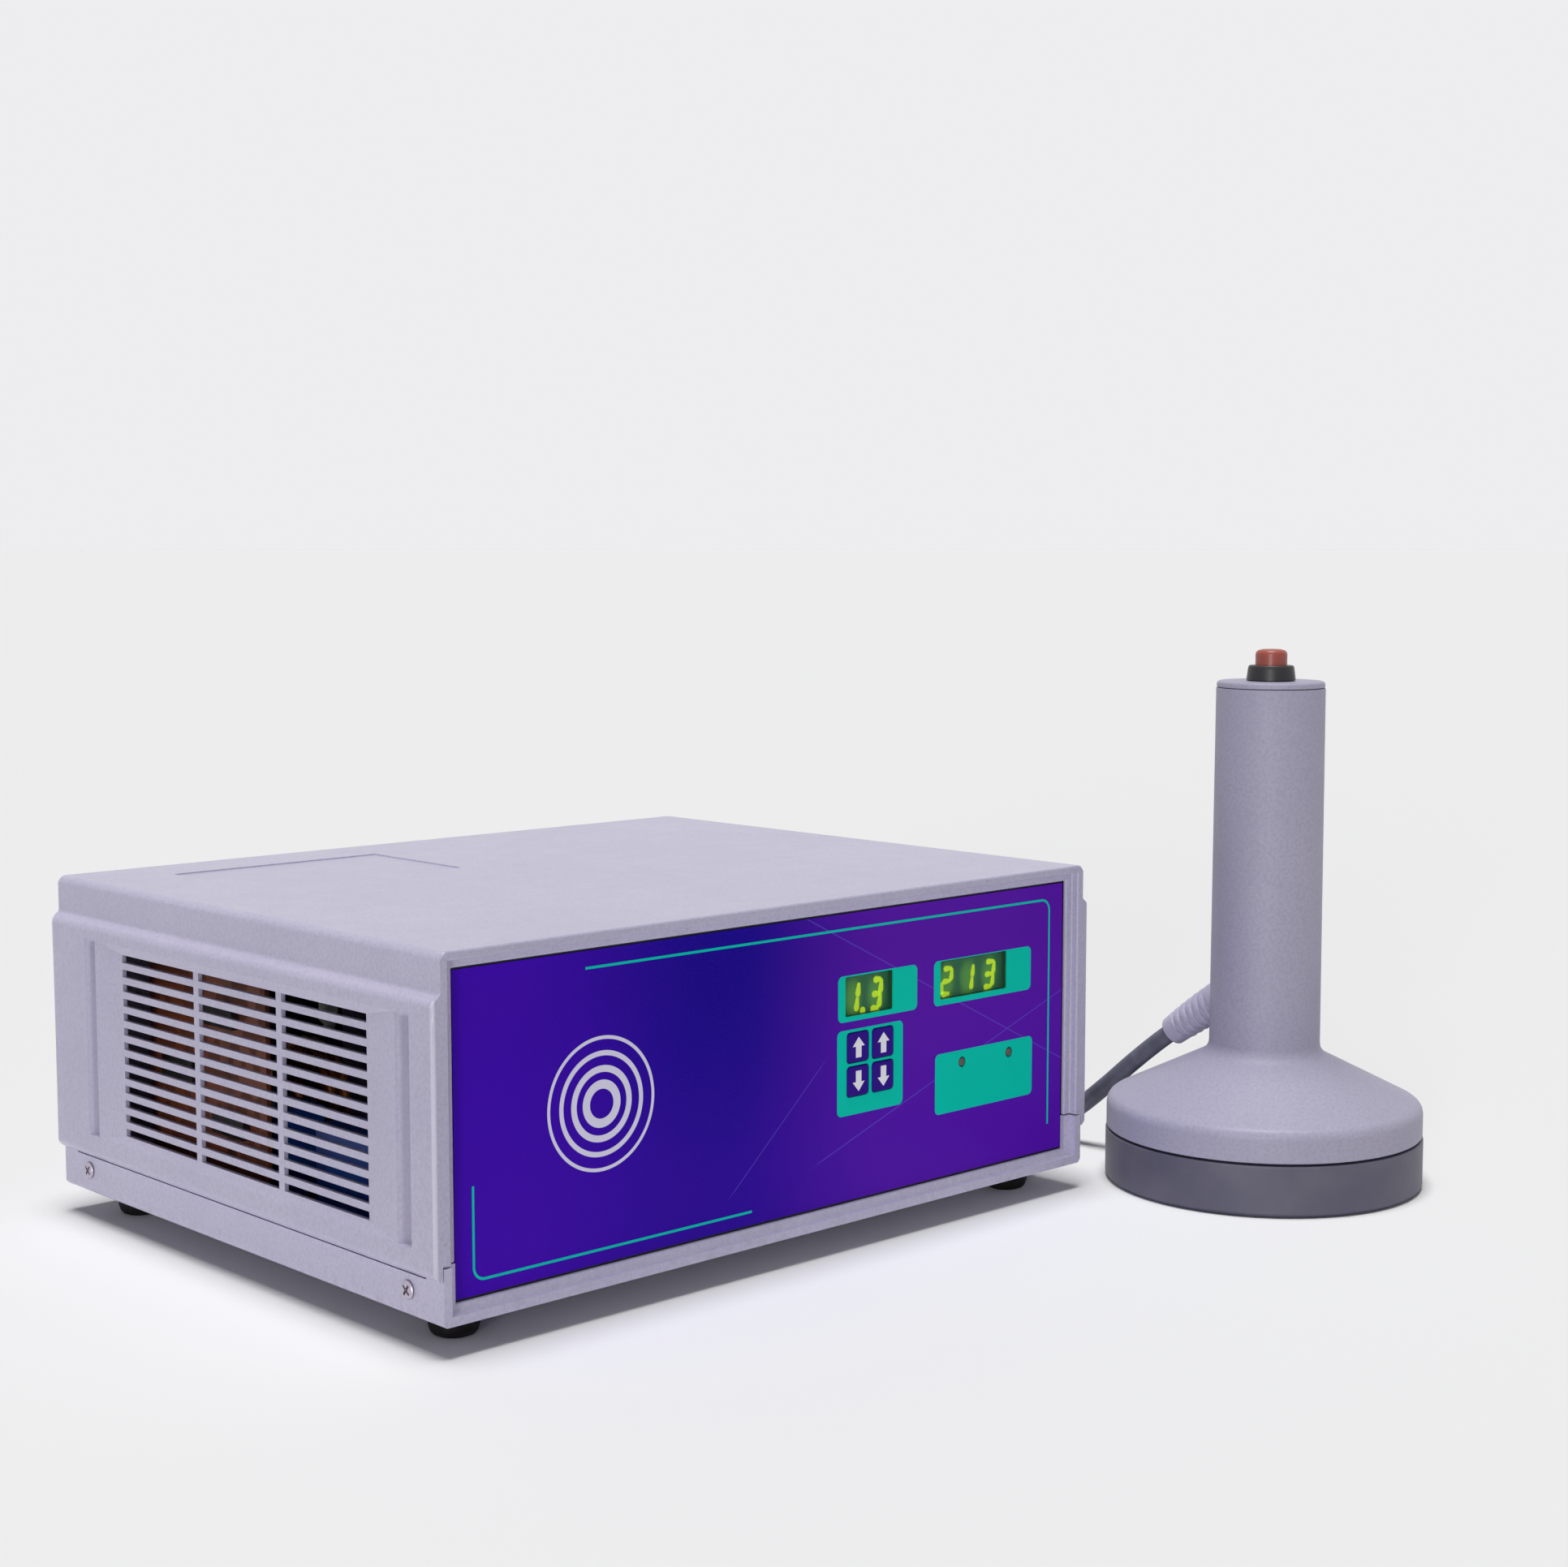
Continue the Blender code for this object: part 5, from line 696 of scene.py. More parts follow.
def laminate_board(name, chips_before=None):
    """Brown resin laminate with darker tracks, and black chips left of a plane where one is given."""
    made, shader, place = new_finish(name, shade(116, 60, 36), 0.5)
    tracks = place.noise(0.008, 0.0).rise(0.48, 0.52)
    colour = tracks.tint(shade(126, 66, 40), shade(98, 50, 30))
    if chips_before is not None:
        colour = place.axes()[0].rise(chips_before, chips_before - 0.0002).tint(colour, shade(26, 24, 26))
    feed(shader, "Base Color", colour)
    feed(shader, "Roughness", 0.42 + 0.2 * tracks)
    return made


laminate = laminate_board("brown_laminate")
chip_laminate = laminate_board("driver_laminate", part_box("driver_board")[0][0] + CHIP_THICK - CHIP_EDGE)
aluminium, aluminium_shader, place = new_finish("extruded_fins", shade(150, 150, 156), 0.5, {"Metallic": 1.0})
feed(aluminium_shader, "Roughness", 0.34 + 0.2 * place.noise(0.003, 3.0))
case_blue, blue_shader, place = new_finish("capacitor_blue", shade(26, 66, 150), 0.35)
feed(blue_shader, "Base Color", place.noise(0.012).tint(shade(20, 56, 138), shade(36, 80, 168)))
sleeve_black, sleeve_shader, place = new_finish("sleeve_black", shade(20, 20, 24), 0.3)
feed(sleeve_shader, "Roughness", 0.24 + 0.16 * place.noise(0.006))
ferrite, ferrite_shader, place = new_finish("sintered_ferrite", shade(44, 44, 48), 0.65)
feed(ferrite_shader, "Base Color", place.noise(0.0015, 3.0).tint(shade(36, 36, 40), shade(58, 58, 62)))
copper, copper_shader, place = new_finish("enamelled_copper", shade(198, 112, 52), 0.32, {"Metallic": 0.85})
windings = place.noise(0.0011, 0.0)
feed(copper_shader, "Base Color", windings.rise(0.4, 0.6).tint(shade(150, 76, 34), shade(214, 128, 66)))
roughen(copper_shader, windings, 0.0002)
terminal, terminal_shader, place = new_finish("terminal_green", shade(40, 120, 66), 0.45)
feed(terminal_shader, "Roughness", 0.38 + 0.14 * place.noise(0.003))
inside_parts = (
    ("control_board", laminate, "circuit_board", 0.0),
    ("power_board", laminate, "circuit_board", 0.0),
    ("driver_board", chip_laminate, "circuit_board", 0.0),
    ("heat_sink_left", aluminium, "aluminium_fins", 0.0002),
    ("heat_sink_right", aluminium, "aluminium_fins", 0.0002),
    ("film_capacitor_front", case_blue, "blue_case", 0.0),
    ("film_capacitor_rear", case_blue, "blue_case", 0.0),
    ("round_capacitor_left", sleeve_black, "black_can", 0.0004),
    ("round_capacitor_right", sleeve_black, "black_can", 0.0004),
    ("transformer_core", ferrite, "ferrite_black", 0.0006),
    ("transformer_winding", copper, "copper_wire", 0.0008),
    ("choke", copper, "copper_wire", 0.0),
    ("bridge_rectifier", sleeve_black, "black_plastic", 0.0),
    ("terminal_block", terminal, "terminal_green", 0.0003),
)
for node, finish, slot, edge in inside_parts:
    give(taken("inner_" + node, node, edge), finish, "base", slot, node)

# The cover is the upper half of the case, moulded in the same ABS, and drops over the tray's step.
# A panel that stands out from each side has 13 rows of slots in 3 columns between two upright flutes, and
# the top has a bare pressed field. Painted shade darkens the flutes, and painted highlights line the corners.
SLOTS_DOWN = 0.0222
SLOTS_IN = 0.0350
SLOT_ROWS = 13
SLOT_COLUMNS = 3
SLOT_TALL = 0.0026
SLOT_PITCH = 0.00497
SLOT_LONG = 0.0465
COLUMN_PITCH = 0.0495
SIDE_WALL = 0.0120
SIDE_RAISE = 0.0030
MITRE_TALL = 0.0060
PANEL_PAST_SLOTS = 0.0240
FLUTE_NEAR = 0.0168
FLUTE_FAR = 0.0230
FLUTE_DEPTH = 0.0012
FLUTE_DEEPER = 2.0
FLUTE_SHADE_FROM = (0.0006, 0.0018)
FLUTE_SHADE_TO = (0.0029, 0.0026)
FLUTE_SHADE_TOP = (0.0025, 0.0015)
CORNER_HIGHLIGHT_WITHIN = (0.0014, 0.0007)
RIM_FRONT = 0.0015
RIM_FOOT = 0.0055
FACE_FOUND_WITHIN = 0.0002
TOP_FIELD_LEFT = 0.0300
TOP_FIELD_RIGHT = 0.1220
TOP_FIELD_FRONT = 0.0800
TOP_FIELD_REAR = 0.0200
TOP_FIELD_DEPTH = 0.0008
SCRATCH = (-0.0810, 0.0885)
SCRATCH_LONG = 0.0016
SCRATCH_WIDE = 0.0007
SLOT_EDGE = 0.00012
TOP_FIELD_EDGE = 0.00010
RIM_EDGE = 0.00120
CASE_EDGE = 0.00060
slots_top = cover_high[2] - SLOTS_DOWN
slots_low = slots_top - (SLOT_ROWS - 1) * SLOT_PITCH - SLOT_TALL
slots_front = cover_low[1] + SLOTS_IN
slots_rear = slots_front + (SLOT_COLUMNS - 1) * COLUMN_PITCH + SLOT_LONG
cover_middle = (cover_low[0] + cover_high[0]) / 2
cover_half = (cover_high[0] - cover_low[0]) / 2


def cover_marks(place, colour):
    """A short scratch on the top, painted shade in the flutes and a painted highlight on the panels' corners.
    """
    x, y, z = place.axes()
    along_it = (x - SCRATCH[0]) / SCRATCH_LONG
    across_it = (y - SCRATCH[1]) / SCRATCH_WIDE
    scratch = (along_it * along_it + across_it * across_it).rise(1.0, 0.4)
    colour = (scratch * 0.5).tint(colour, shade(132, 126, 148))
    sunk = cover_half - (x - cover_middle).size()
    past_slots = (slots_front - y).most(y - slots_rear)
    # Painted shade darkens the walls and floors of the flutes.
    in_depth = sunk.rise(*FLUTE_SHADE_FROM) * sunk.rise(*FLUTE_SHADE_TO)
    in_length = past_slots.rise(FLUTE_NEAR - 0.0008, FLUTE_NEAR - 0.0002)
    in_length = in_length * past_slots.rise(FLUTE_FAR + 0.0006, FLUTE_FAR)
    darkening = in_depth * in_length * (z - slots_top).rise(*FLUTE_SHADE_TOP)
    colour = (darkening * 0.55).tint(colour, shade(142, 137, 160))
    # A painted highlight runs up the corners where the side faces meet the ends.
    from_an_end = (y - cover_low[1]).least(cover_high[1] - y)
    painted_corner_highlight = sunk.rise(*CORNER_HIGHLIGHT_WITHIN) * from_an_end.rise(*CORNER_HIGHLIGHT_WITHIN)
    return (painted_corner_highlight * 0.75).tint(colour, shade(216, 212, 230))


def on_a_side_face(point):
    in_height = slots_low - MITRE_TALL < point.z < slots_top + MITRE_TALL
    in_length = slots_front - PANEL_PAST_SLOTS < point.y < slots_rear + PANEL_PAST_SLOTS
    return abs(point.x - cover_middle) > cover_half - SIDE_WALL and in_height and in_length


def in_the_slots(point):
    return on_a_side_face(point) and slots_front - 0.001 < point.y < slots_rear + 0.001


def in_a_flute(point):
    return on_a_side_face(point) and FLUTE_NEAR < max(slots_front - point.y, point.y - slots_rear) < FLUTE_FAR


def is_as_deep_as_a_flute(point, side):
    return cover_half - side * (point.x - cover_middle) < FLUTE_DEPTH + 0.0001


def on_the_top_field(point):
    in_width = TOP_FIELD_LEFT < point.x - cover_low[0] < TOP_FIELD_RIGHT
    in_length = TOP_FIELD_REAR < cover_high[1] - point.y < TOP_FIELD_FRONT
    return in_width and in_length and point.z > cover_high[2] - TOP_FIELD_DEPTH


def on_the_raised_rim(point):
    return abs(point.x - cover_middle) > cover_half - FACE_FOUND_WITHIN and not on_a_side_face(point)


def elsewhere(point):
    from_end = min(point.y - cover_low[1], cover_high[1] - point.y)
    in_the_sides = abs(point.x - cover_middle) > cover_half - SIDE_RAISE - FACE_FOUND_WITHIN
    near_the_rim = in_the_sides and (from_end < RIM_FRONT or point.z < cover_low[2] + RIM_FOOT)
    return not on_a_side_face(point) and not on_the_top_field(point) and not near_the_rim


def keep_crisp(piece, angle, wanted):
    """Marks the edges sharper than the angle whose middle is wanted, so that smoothing stops at them."""
    solid = bmesh.new()
    solid.from_mesh(piece.data)
    for edge in sharp_edges(solid, angle, wanted):
        edge.smooth = False
    solid.to_mesh(piece.data)
    solid.free()


slot_cuts = []
for row in range(SLOT_ROWS):
    for drop in (0, SLOT_TALL):
        slot_cuts.append(((0, 0, slots_top - row * SLOT_PITCH - drop), (0, 0, 1)))
for column in range(SLOT_COLUMNS):
    for reach in (0, SLOT_LONG):
        slot_cuts.append(((0, slots_front + column * COLUMN_PITCH + reach, 0), (0, 1, 0)))
cover_finish = shell_plastic("cover_abs", marks_and_painted_light=cover_marks)
cover = taken("case_cover", "top_cover", cuts=slot_cuts)
for side in (-1, 1):
    pick_points(cover, lambda point: in_a_flute(point) and is_as_deep_as_a_flute(point, side))
    face = (cover_middle + side * cover_half, 0, 0)
    bpy.ops.transform.resize(value=(FLUTE_DEEPER, 1, 1), center_override=face)
    bpy.ops.object.mode_set(mode="OBJECT")
round_edges(cover, SLOT_EDGE, 1, 60, in_the_slots)
round_edges(cover, TOP_FIELD_EDGE, 1, 60, on_the_top_field)
round_edges(cover, RIM_EDGE, 4, 35, on_the_raised_rim)
round_edges(cover, CASE_EDGE, 3, 35, elsewhere)
keep_crisp(cover, 2, lambda point: on_a_side_face(point) and not in_a_flute(point))
give(settle(cover, "case_cover"), cover_finish, "base", "housing_plastic", "top_cover")

# Four zinc-plated cross-head screws go through the tray's sides into the cover's lugs.
# Their heads are low and round, and painted shade darkens the cross in each.
SCREW_SHARE = 0.90
SCREW_FLATTER = 0.55
SCREW_HEAD_TALL = 0.0014
CROSS_TURN = math.radians(38)
CROSS_REACH = 0.0019
CROSS_WIDE = 0.0006
CROSS_EDGE = 0.0001
zinc, zinc_shader, place = new_finish("zinc_screw", shade(188, 180, 194), 0.32, {"Metallic": 1.0})
front_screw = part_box("case_screw_front_left")
rear_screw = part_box("case_screw_rear_left")
front_y = (front_screw[0][1] + front_screw[1][1]) / 2
rear_y = (rear_screw[0][1] + rear_screw[1][1]) / 2
half_way = (front_y + rear_y) / 2
screw_z = (front_screw[0][2] + front_screw[1][2]) / 2
_, along_y, along_z = place.axes()
along_y = along_y - (along_y.rise(half_way, half_way + 0.001) * (rear_y - front_y) + front_y)
along_z = along_z - screw_z
first_arm = (along_y * math.cos(CROSS_TURN) + along_z * math.sin(CROSS_TURN)).size()
second_arm = (along_z * math.cos(CROSS_TURN) - along_y * math.sin(CROSS_TURN)).size()
narrow = first_arm.least(second_arm).rise(CROSS_WIDE / 2 + CROSS_EDGE, CROSS_WIDE / 2)
painted_cross_shade = narrow * first_arm.most(second_arm).rise(CROSS_REACH + CROSS_EDGE, CROSS_REACH)
# Painted shade darkens the cross recess in each head.
feed(zinc_shader, "Base Color", painted_cross_shade.tint(shade(188, 180, 194), shade(70, 62, 72)))
feed(zinc_shader, "Roughness", 0.24 + 0.25 * place.noise(0.0009))
roughen(zinc_shader, place.noise(0.0005), 0.00001)
for end in ("front", "rear"):
    for side in (-1, 1):
        node = f"case_screw_{end}_{'left' if side < 0 else 'right'}"
        low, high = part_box(node)
        head_foot = side * (max(side * low[0], side * high[0]) - SCREW_HEAD_TALL)
        axis = (head_foot, (low[1] + high[1]) / 2, (low[2] + high[2]) / 2)
        screw = taken("zinc_" + node, node, 0.00012, 2, 30)
        pick_points(screw, lambda point: True)
        bpy.ops.transform.rotate(value=-CROSS_TURN, orient_axis="X", center_override=axis)
        bpy.ops.transform.resize(value=(1, SCREW_SHARE, SCREW_SHARE), center_override=axis)
        pick_points(screw, lambda point: side * (point.x - head_foot) > 0)
        bpy.ops.transform.resize(value=(SCREW_FLATTER, 1, 1), center_override=axis)
        bpy.ops.object.mode_set(mode="OBJECT")
        give(screw, zinc, "base", "screw_steel", node)

# The head's cup is moulded in slate grey ABS and pressed into the bell from below.
# It carries the flat coil of enamelled copper and four ferrite bars. Its flat floor is the sealing face.
cup_low, cup_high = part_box("coil_cup")
HEAD = Vector(((cup_low[0] + cup_high[0]) / 2, (cup_low[1] + cup_high[1]) / 2))
slate, slate_shader, place = new_finish("slate_abs", shade(88, 86, 104), 0.5)
streaks = place.noise(0.02, 3.0)
feed(slate_shader, "Base Color", streaks.rise(0.3, 0.75).tint(shade(84, 82, 101), shade(98, 94, 109)))
feed(slate_shader, "Roughness", 0.42 + 0.18 * streaks)
roughen(slate_shader, place.noise(0.0006), 0.000025)
CUP_RADIUS = 0.0580
CUP_BORE = 0.0520
CUP_NECK = 0.0549
CUP_FLOOR = 0.0028
CUP_SHOULDER = 0.0186
CUP_TALL = 0.0216
cup_outside = [(NEARLY_NONE, 0.0), (CUP_RADIUS - 0.0016, 0.0), (CUP_RADIUS, 0.0014)]
cup_outside += [(CUP_RADIUS, CUP_SHOULDER - 0.0005), (CUP_RADIUS - 0.0005, CUP_SHOULDER)]
cup_neck = [(CUP_NECK, CUP_SHOULDER), (CUP_NECK, CUP_TALL), (CUP_BORE, CUP_TALL)]
cup_inside = [(CUP_BORE, CUP_FLOOR), (NEARLY_NONE, CUP_FLOOR)]
cup = turned("slate_cup", HEAD, cup_outside + cup_neck + cup_inside, 128, 0.0004, 3)
give(cup, slate, "base", "cup_plastic", "coil_cup")
give(taken("flat_coil", "induction_coil"), copper, "base", "copper_wire", "induction_coil")
for bar in range(1, 5):
    node = f"ferrite_bar_{bar}"
    give(taken(f"inner_bar_{bar}", node, 0.0003), ferrite, "base", "ferrite_black", node)

# Bell and handle are one thin-walled moulding in the case's grey, a little darker and more matt.
# The handle narrows slightly upwards. The cable boot is let into its side.
grip_finish = shell_plastic("grip_abs", 0.90, rough=0.46)
HANDLE_TOP = 0.1829
handle_outside = [(0.0197, HANDLE_TOP), (0.0202, 0.0520)]
throat = [(0.0204, 0.0505), (0.0212, 0.0489), (0.0224, 0.0478), (0.0240, 0.0469)]
shoulder = [(0.0554, 0.0313), (0.0566, 0.0304), (0.0574, 0.0291), (0.0577, 0.0275)]
skirt = [(0.0577, 0.0196), (0.0574, 0.0194), (0.0551, 0.0194), (0.0551, 0.0280)]
handle_inside = [(0.0215, 0.0448), (0.0176, 0.0500), (0.0171, HANDLE_TOP), (0.0197, HANDLE_TOP)]
bell = handle_outside + throat + shoulder + skirt + handle_inside
grip = turned("bell_and_handle", HEAD, bell, 128, 0.00025, 2, 30)
give(grip, grip_finish, "base", "housing_plastic", "head_shell")

# A cap of the same grey is pressed into the top of the handle and closes it.
# The black plastic bush in it guides the copper-red push button, which acts on a small switch below.
CAP_TOP = 0.1854
CAP_FOOT = 0.1792
CAP_FLANGE = 0.1832
CAP_BORE = 0.0080
CAP_PLUG = 0.0168
CAP_RADIUS = 0.0195
cap = [(CAP_BORE, CAP_TOP), (CAP_RADIUS - 0.0009, CAP_TOP), (CAP_RADIUS - 0.0003, CAP_TOP - 0.0003)]
cap += [(CAP_RADIUS, CAP_TOP - 0.0009), (CAP_RADIUS, CAP_FLANGE), (CAP_PLUG, CAP_FLANGE)]
cap += [(CAP_PLUG, CAP_FOOT), (CAP_BORE, CAP_FOOT), (CAP_BORE, CAP_TOP)]
give(turned("handle_end", HEAD, cap, 96, 0.0002), grip_finish, "base", "housing_plastic", "handle_cap")

BUSH_TOP = 0.1911
BUSH_SEAT = 0.1857
BUSH_FOOT = 0.1777
BUSH_BORE = 0.0060
BUSH_RADIUS = 0.0078
bush = [(BUSH_BORE, BUSH_TOP), (BUSH_RADIUS, BUSH_TOP), (0.0082, BUSH_TOP - 0.0004)]
bush += [(0.0084, BUSH_TOP - 0.0013), (0.0089, BUSH_SEAT), (BUSH_RADIUS, BUSH_SEAT)]
bush += [(BUSH_RADIUS, BUSH_FOOT), (BUSH_BORE, BUSH_FOOT), (BUSH_BORE, BUSH_TOP)]
give(turned("black_bush", HEAD, bush, 64, 0.0002), fitting_black, "base", "black_plastic", "button_bush")

BUTTON_RADIUS = 0.00575
button_red, button_shader, place = new_finish("button_red", shade(158, 72, 60), 0.35)
feed(button_shader, "Base Color", place.noise(0.004).tint(shade(146, 62, 52), shade(172, 84, 70)))
low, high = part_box("trigger_button")
button = [(NEARLY_NONE, low[2]), (BUTTON_RADIUS, low[2]), (BUTTON_RADIUS, high[2] - 0.0020)]
button += [(0.0055, high[2] - 0.0011), (0.0048, high[2] - 0.0005), (0.0034, high[2] - 0.0001)]
button += [(NEARLY_NONE, high[2])]
give(turned("red_button", HEAD, button, 48), button_red, "trigger", "button_red", "trigger_button")
give(taken("push_switch", "trigger_switch", 0.0003), fitting_black, "base", "black_plastic", "trigger_switch")

# Soft boots of grey PVC protect the cable where it leaves the handle and the rear panel.
# Each is moulded with six round ribs and a plain collar. The one on the handle droops a little.
BOOT_THICK = 0.0071
BOOT_THIN = 0.0056
BOOT_ROOT = 0.0060
BOOT_COLLAR = 0.0055
BOOT_RIBS = 6
# How far along its pitch each ring of a rib lies, and how far it stands above the tapering body.
RIB_RINGS = ((0.12, 0.0001), (0.42, 0.0001), (0.56, -0.0002))
RIB_RINGS += ((0.66, -0.0008), (0.88, -0.0008), (0.97, -0.0002))
HEAD_BOOT_LONG = 0.0253
HEAD_BOOT_SUNK = 0.0045
HEAD_BOOT_FIRST_DROP = math.radians(33)
HEAD_BOOT_LAST_DROP = math.radians(38)
HEAD_BOOT_TURN = math.radians(6.5)
HEAD_BOOT_OUT = 0.0190
HEAD_BOOT_UP = 0.0648
UNIT_BOOT_LONG = 0.0216
boot_finish = shell_plastic("boot_pvc")


def ribbed_boot(length, first_drop, last_drop, sunk):
    """A ring is drawn out along a slowly falling line. It narrows to a groove after each rib."""
    pitch = (length - BOOT_COLLAR) / BOOT_RIBS
    stations = [(-sunk, BOOT_THIN), (-sunk, BOOT_THICK)]
    for rib in range(BOOT_RIBS):
        start = rib * pitch
        full = BOOT_THICK + (BOOT_THIN - BOOT_THICK) * start / length
        stations += [(start + pitch * share, full + stands) for share, stands in RIB_RINGS]
    stations += [(length - BOOT_COLLAR, BOOT_THIN + 0.0003), (length - 0.0008, BOOT_THIN)]
    stations += [(length - 0.0002, BOOT_THIN - 0.0004), (length, BOOT_THIN - 0.0012)]
    spot = Vector((0, math.cos(first_drop), -math.sin(first_drop))) * -BOOT_ROOT
    bpy.ops.mesh.primitive_circle_add(
        vertices=48,
        radius=BOOT_THIN,
        fill_type="NGON",
        location=spot,
        rotation=(math.pi / 2 - first_drop, 0, 0),
    )
    boot = bpy.context.object
    bpy.ops.object.transform_apply(location=True, rotation=True, scale=False)
    bpy.ops.object.mode_set(mode="EDIT")
    bpy.ops.mesh.select_all(action="SELECT")
    reached, radius, drop = -BOOT_ROOT, BOOT_THIN, first_drop
    for distance, new_radius in stations:
        share = min(max(distance / length, 0), 1)
        new_drop = first_drop + (last_drop - first_drop) * share
        step = Vector((0, math.cos(new_drop), -math.sin(new_drop))) * (distance - reached)
        spot = spot + step
        bpy.ops.mesh.extrude_region_move(TRANSFORM_OT_translate={"value": tuple(step)})
        if new_drop != drop:
            bpy.ops.transform.rotate(value=new_drop - drop, orient_axis="X", center_override=tuple(spot))
        bpy.ops.transform.resize(value=(new_radius / radius,) * 3, center_override=tuple(spot))
        reached, radius, drop = distance, new_radius, new_drop
    bpy.ops.mesh.select_all(action="SELECT")
    bpy.ops.mesh.remove_doubles(threshold=0.000004)
    bpy.ops.mesh.normals_make_consistent(inside=False)
    bpy.ops.object.mode_set(mode="OBJECT")
    return boot


bpy.ops.object.select_all(action="DESELECT")
head_boot = ribbed_boot(HEAD_BOOT_LONG, HEAD_BOOT_FIRST_DROP, HEAD_BOOT_LAST_DROP, HEAD_BOOT_SUNK)
head_boot.rotation_euler = (0, 0, HEAD_BOOT_TURN)
head_boot.location = (
    HEAD.x - math.sin(HEAD_BOOT_TURN) * HEAD_BOOT_OUT,
    HEAD.y + math.cos(HEAD_BOOT_TURN) * HEAD_BOOT_OUT,
    HEAD_BOOT_UP,
)
give(settle(head_boot, "handle_boot"), boot_finish, "base", "housing_plastic", "head_cable_boot")
unit_boot = ribbed_boot(UNIT_BOOT_LONG, 0.0, 0.0, 0.0)
low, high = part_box("unit_cable_boot")
unit_boot.location = ((low[0] + high[0]) / 2, high[1] - UNIT_BOOT_LONG, (low[2] + high[2]) / 2)
give(settle(unit_boot, "rear_boot"), boot_finish, "base", "housing_plastic", "unit_cable_boot")

# The cable is one length of round jacketed lead from the boot on the rear panel to the boot on the handle.
# Its spare length is wound in a coil of four strands behind the unit, and it runs past the right side.
jacket, jacket_shader, place = new_finish("cable_jacket", shade(96, 98, 114), 0.6)
scuffs = place.noise(0.006, 3.0)
feed(jacket_shader, "Base Color", scuffs.rise(0.35, 0.75).tint(shade(90, 92, 108), shade(108, 110, 126)))
feed(jacket_shader, "Roughness", 0.5 + 0.2 * scuffs)
roughen(jacket_shader, place.noise(0.0006), 0.00003)

CABLE_THICK = 0.007
STRAND_PITCH = 0.0071
OUTER_TURN = 0.04205
LOW_STRAND = 0.0044
TURNS = 10 / 3
SHIFT_INWARD = (0.74, 0.93)
SHIFT_DOWN = (1.54, 1.72)
SHIFT_OUTWARD = (2.34, 2.52)
POINTS_IN_COIL = 120
LEAVING_TURN = math.radians(60)
FINE_SPACING = 0.0008
POINT_SPACING = 0.0032
coil_middle = Vector((0.01155, 0.217))
boot_mouth_rear = Vector((-0.0305, 0.1690, 0.0265))


def eased(value, low, high):
    """0 below low, 1 above high and smooth between, as a number."""
    share = min(max((value - low) / (high - low), 0), 1)
    return share * share * (3 - 2 * share)


def strand(turns):
    """Where the cable lies after some turns of the coil. It shifts inward, then down, then outward."""
    inward = eased(turns, *SHIFT_INWARD) - eased(turns, *SHIFT_OUTWARD)
    down = eased(turns, *SHIFT_DOWN)
    angle = math.pi - 2 * math.pi * turns
    radius = OUTER_TURN - STRAND_PITCH * inward
    height = LOW_STRAND + STRAND_PITCH * (1 - down)
    x = coil_middle.x + radius * math.cos(angle)
    y = coil_middle.y + radius * math.sin(angle)
    return Vector((x, y, height))


def along(points):
    """Reads a smooth curve through the points at an even spacing."""
    ends = [points[0] * 2 - points[1]] + points + [points[-1] * 2 - points[-2]]
    fine = []
    for a, b, c, d in zip(ends, ends[1:], ends[2:], ends[3:]):
        steps = max(2, round((c - b).length / FINE_SPACING))
        for i in range(steps):
            t = i / steps
            bend = 2 * b + (c - a) * t + (2 * a - 5 * b + 4 * c - d) * t**2 + (3 * b - a - 3 * c + d) * t**3
            fine.append(bend * 0.5)
    fine.append(points[-1])
    read = [fine[0]]
    travelled = 0.0
    for first, second in zip(fine, fine[1:]):
        travelled += (second - first).length
        if travelled >= POINT_SPACING:
            read.append(second)
            travelled = 0.0
    read[-1] = fine[-1]
    return read


descent = [(-0.0305, 0.1740, 0.0265), (-0.0305, 0.1800, 0.0252), (-0.0305, 0.1875, 0.0220)]
descent += [(-0.0305, 0.1955, 0.0175), (-0.0305, 0.2030, 0.0139), (-0.0305, 0.2100, 0.0120)]
coil = [strand(TURNS * i / POINTS_IN_COIL) for i in range(POINTS_IN_COIL + 1)]
leaving_way = Vector((math.sin(LEAVING_TURN), -math.cos(LEAVING_TURN), 0))
leaving = [coil[-1] + leaving_way * 0.0120 - Vector((0, 0, 0.0003))]
leaving += [coil[-1] + leaving_way * 0.0252 - Vector((0, 0, 0.0007))]
floor_run = [(0.0750, 0.2280, 0.0036), (0.0940, 0.2105, 0.0036), (0.1090, 0.1880, 0.0036)]
floor_run += [(0.1185, 0.1600, 0.0036), (0.1245, 0.1270, 0.0036), (0.1280, 0.0940, 0.0036)]
floor_run += [(0.1305, 0.0590, 0.0036), (0.1325, 0.0270, 0.0036), (0.1340, 0.0010, 0.0038)]
climb = [(0.1350, -0.0140, 0.0060), (0.1362, -0.0280, 0.0127), (0.1377, -0.0420, 0.0240)]
climb += [(0.1392, -0.0555, 0.0362), (0.1398, -0.0664, 0.0452), (0.1407, -0.0742, 0.0513)]
route = [boot_mouth_rear] + [Vector(p) for p in descent] + coil + leaving
route += [Vector(p) for p in floor_run + climb]
line = along(route)
cable_length = sum((b - a).length for a, b in zip(line, line[1:]))
curve = bpy.data.curves.new("head_cable", "CURVE")
curve.dimensions = "3D"
curve.bevel_depth = CABLE_THICK / 2
curve.bevel_resolution = 5
curve.use_fill_caps = True
run = curve.splines.new("POLY")
run.points.add(len(line) - 1)
for spot, point in zip(run.points, line):
    spot.co = (*point, 1)
run.use_smooth = True
head_cable = bpy.data.objects.new("head_cable", curve)
bpy.context.collection.objects.link(head_cable)
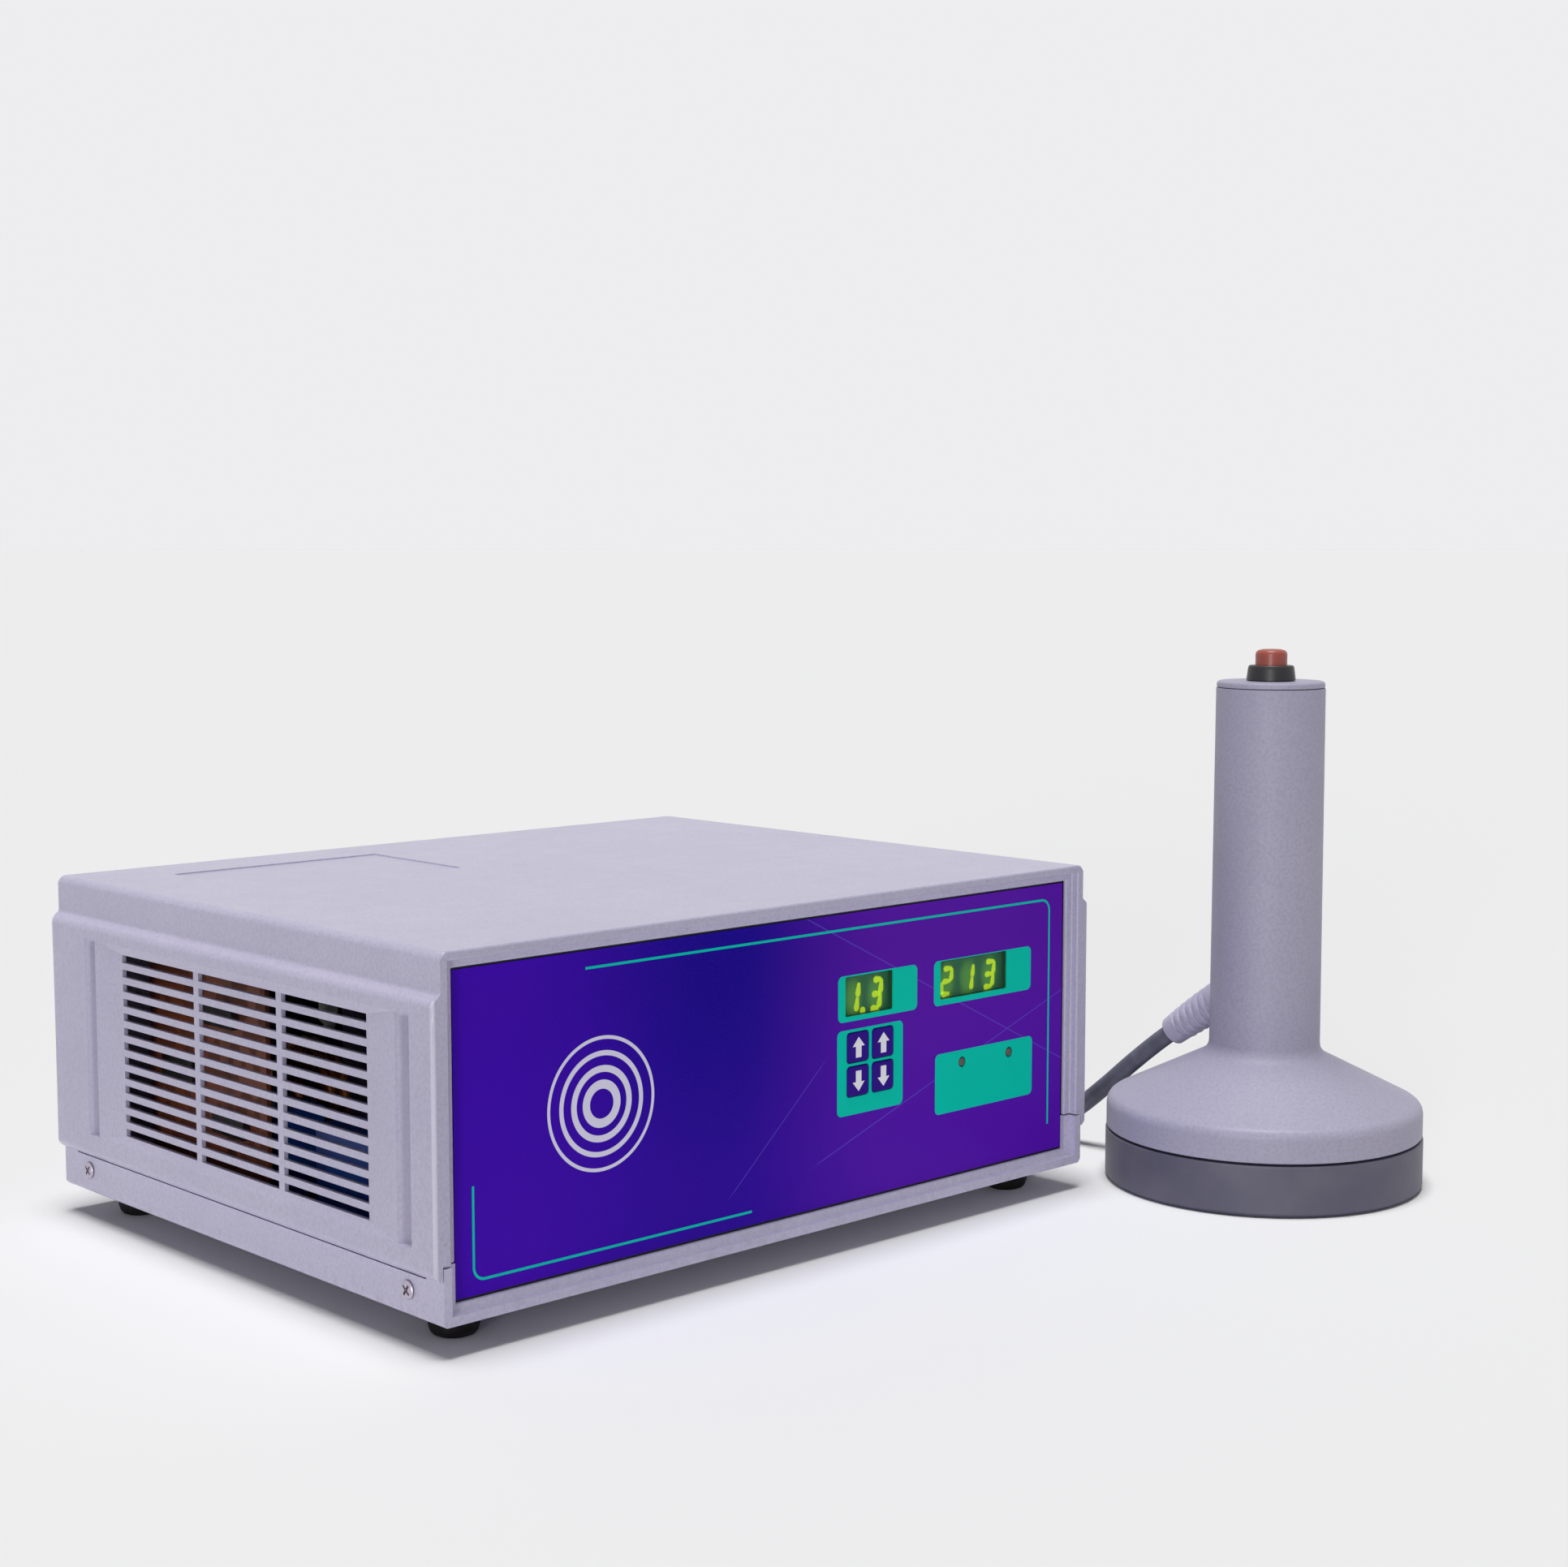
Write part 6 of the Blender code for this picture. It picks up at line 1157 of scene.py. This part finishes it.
give(head_cable, jacket, "base", "cable_jacket", "cord_at_unit", "cord_coil", "cord_to_head")

# The machine stands on a pale matt sweep, which is no part of it, and is seen from a little above its
# front left corner. A wide soft light comes from high above, and a weaker one from low on its left shows
# the relief of the sides. The room is pale all round.
bpy.ops.object.select_all(action="DESELECT")
bpy.ops.mesh.primitive_plane_add(size=400, location=(0, 0, 0))
sweep = bpy.context.object
sweep.name = "pale_sweep"
pale, _, _ = new_finish("pale_sweep", shade(244, 244, 244), 0.9, {"Specular IOR Level": 0.0})
sweep.data.materials.append(pale)

camera_data = bpy.data.cameras.new("bench_camera")
camera_data.lens = 56.73
camera_data.sensor_width = 36
camera = bpy.data.objects.new("bench_camera", camera_data)
camera.location = (-0.60593, -0.64566, 0.23378)
camera.rotation_euler = (math.radians(84.555), 0, math.radians(-43.445))
bpy.context.collection.objects.link(camera)
bpy.context.scene.camera = camera

for name, way, power, spread in (
    ("high_light", (-0.06, -0.02, 1.0), 2.48, 22),
    ("left_light", (-0.86, -0.50, 0.10), 0.90, 12),
):
    lamp_data = bpy.data.lights.new(name, "SUN")
    lamp_data.energy = power
    lamp_data.angle = math.radians(spread)
    lamp = bpy.data.objects.new(name, lamp_data)
    lamp.rotation_euler = Vector(way).to_track_quat("Z", "Y").to_euler()
    bpy.context.collection.objects.link(lamp)

room = bpy.data.worlds.new("pale_room")
room.use_nodes = True
bpy.context.scene.world = room
plan = Signal(room.node_tree)
room_light = plan.node("ShaderNodeBackground", {}, {"Color": (0.99, 0.985, 1.0, 1), "Strength": 0.12})
backdrop = plan.node("ShaderNodeBackground", {}, {"Color": (0.848, 0.847, 0.862, 1), "Strength": 1.0})
seen = plan.node("ShaderNodeLightPath", {}, {}, "Is Camera Ray")
mirrored = plan.node("ShaderNodeLightPath", {}, {}, "Is Glossy Ray")
shown = plan.node("ShaderNodeMixShader", {}, {0: seen.most(mirrored), 1: room_light, 2: backdrop})
feed(room.node_tree.nodes["World Output"], "Surface", shown)
bpy.context.scene.view_settings.view_transform = "Standard"
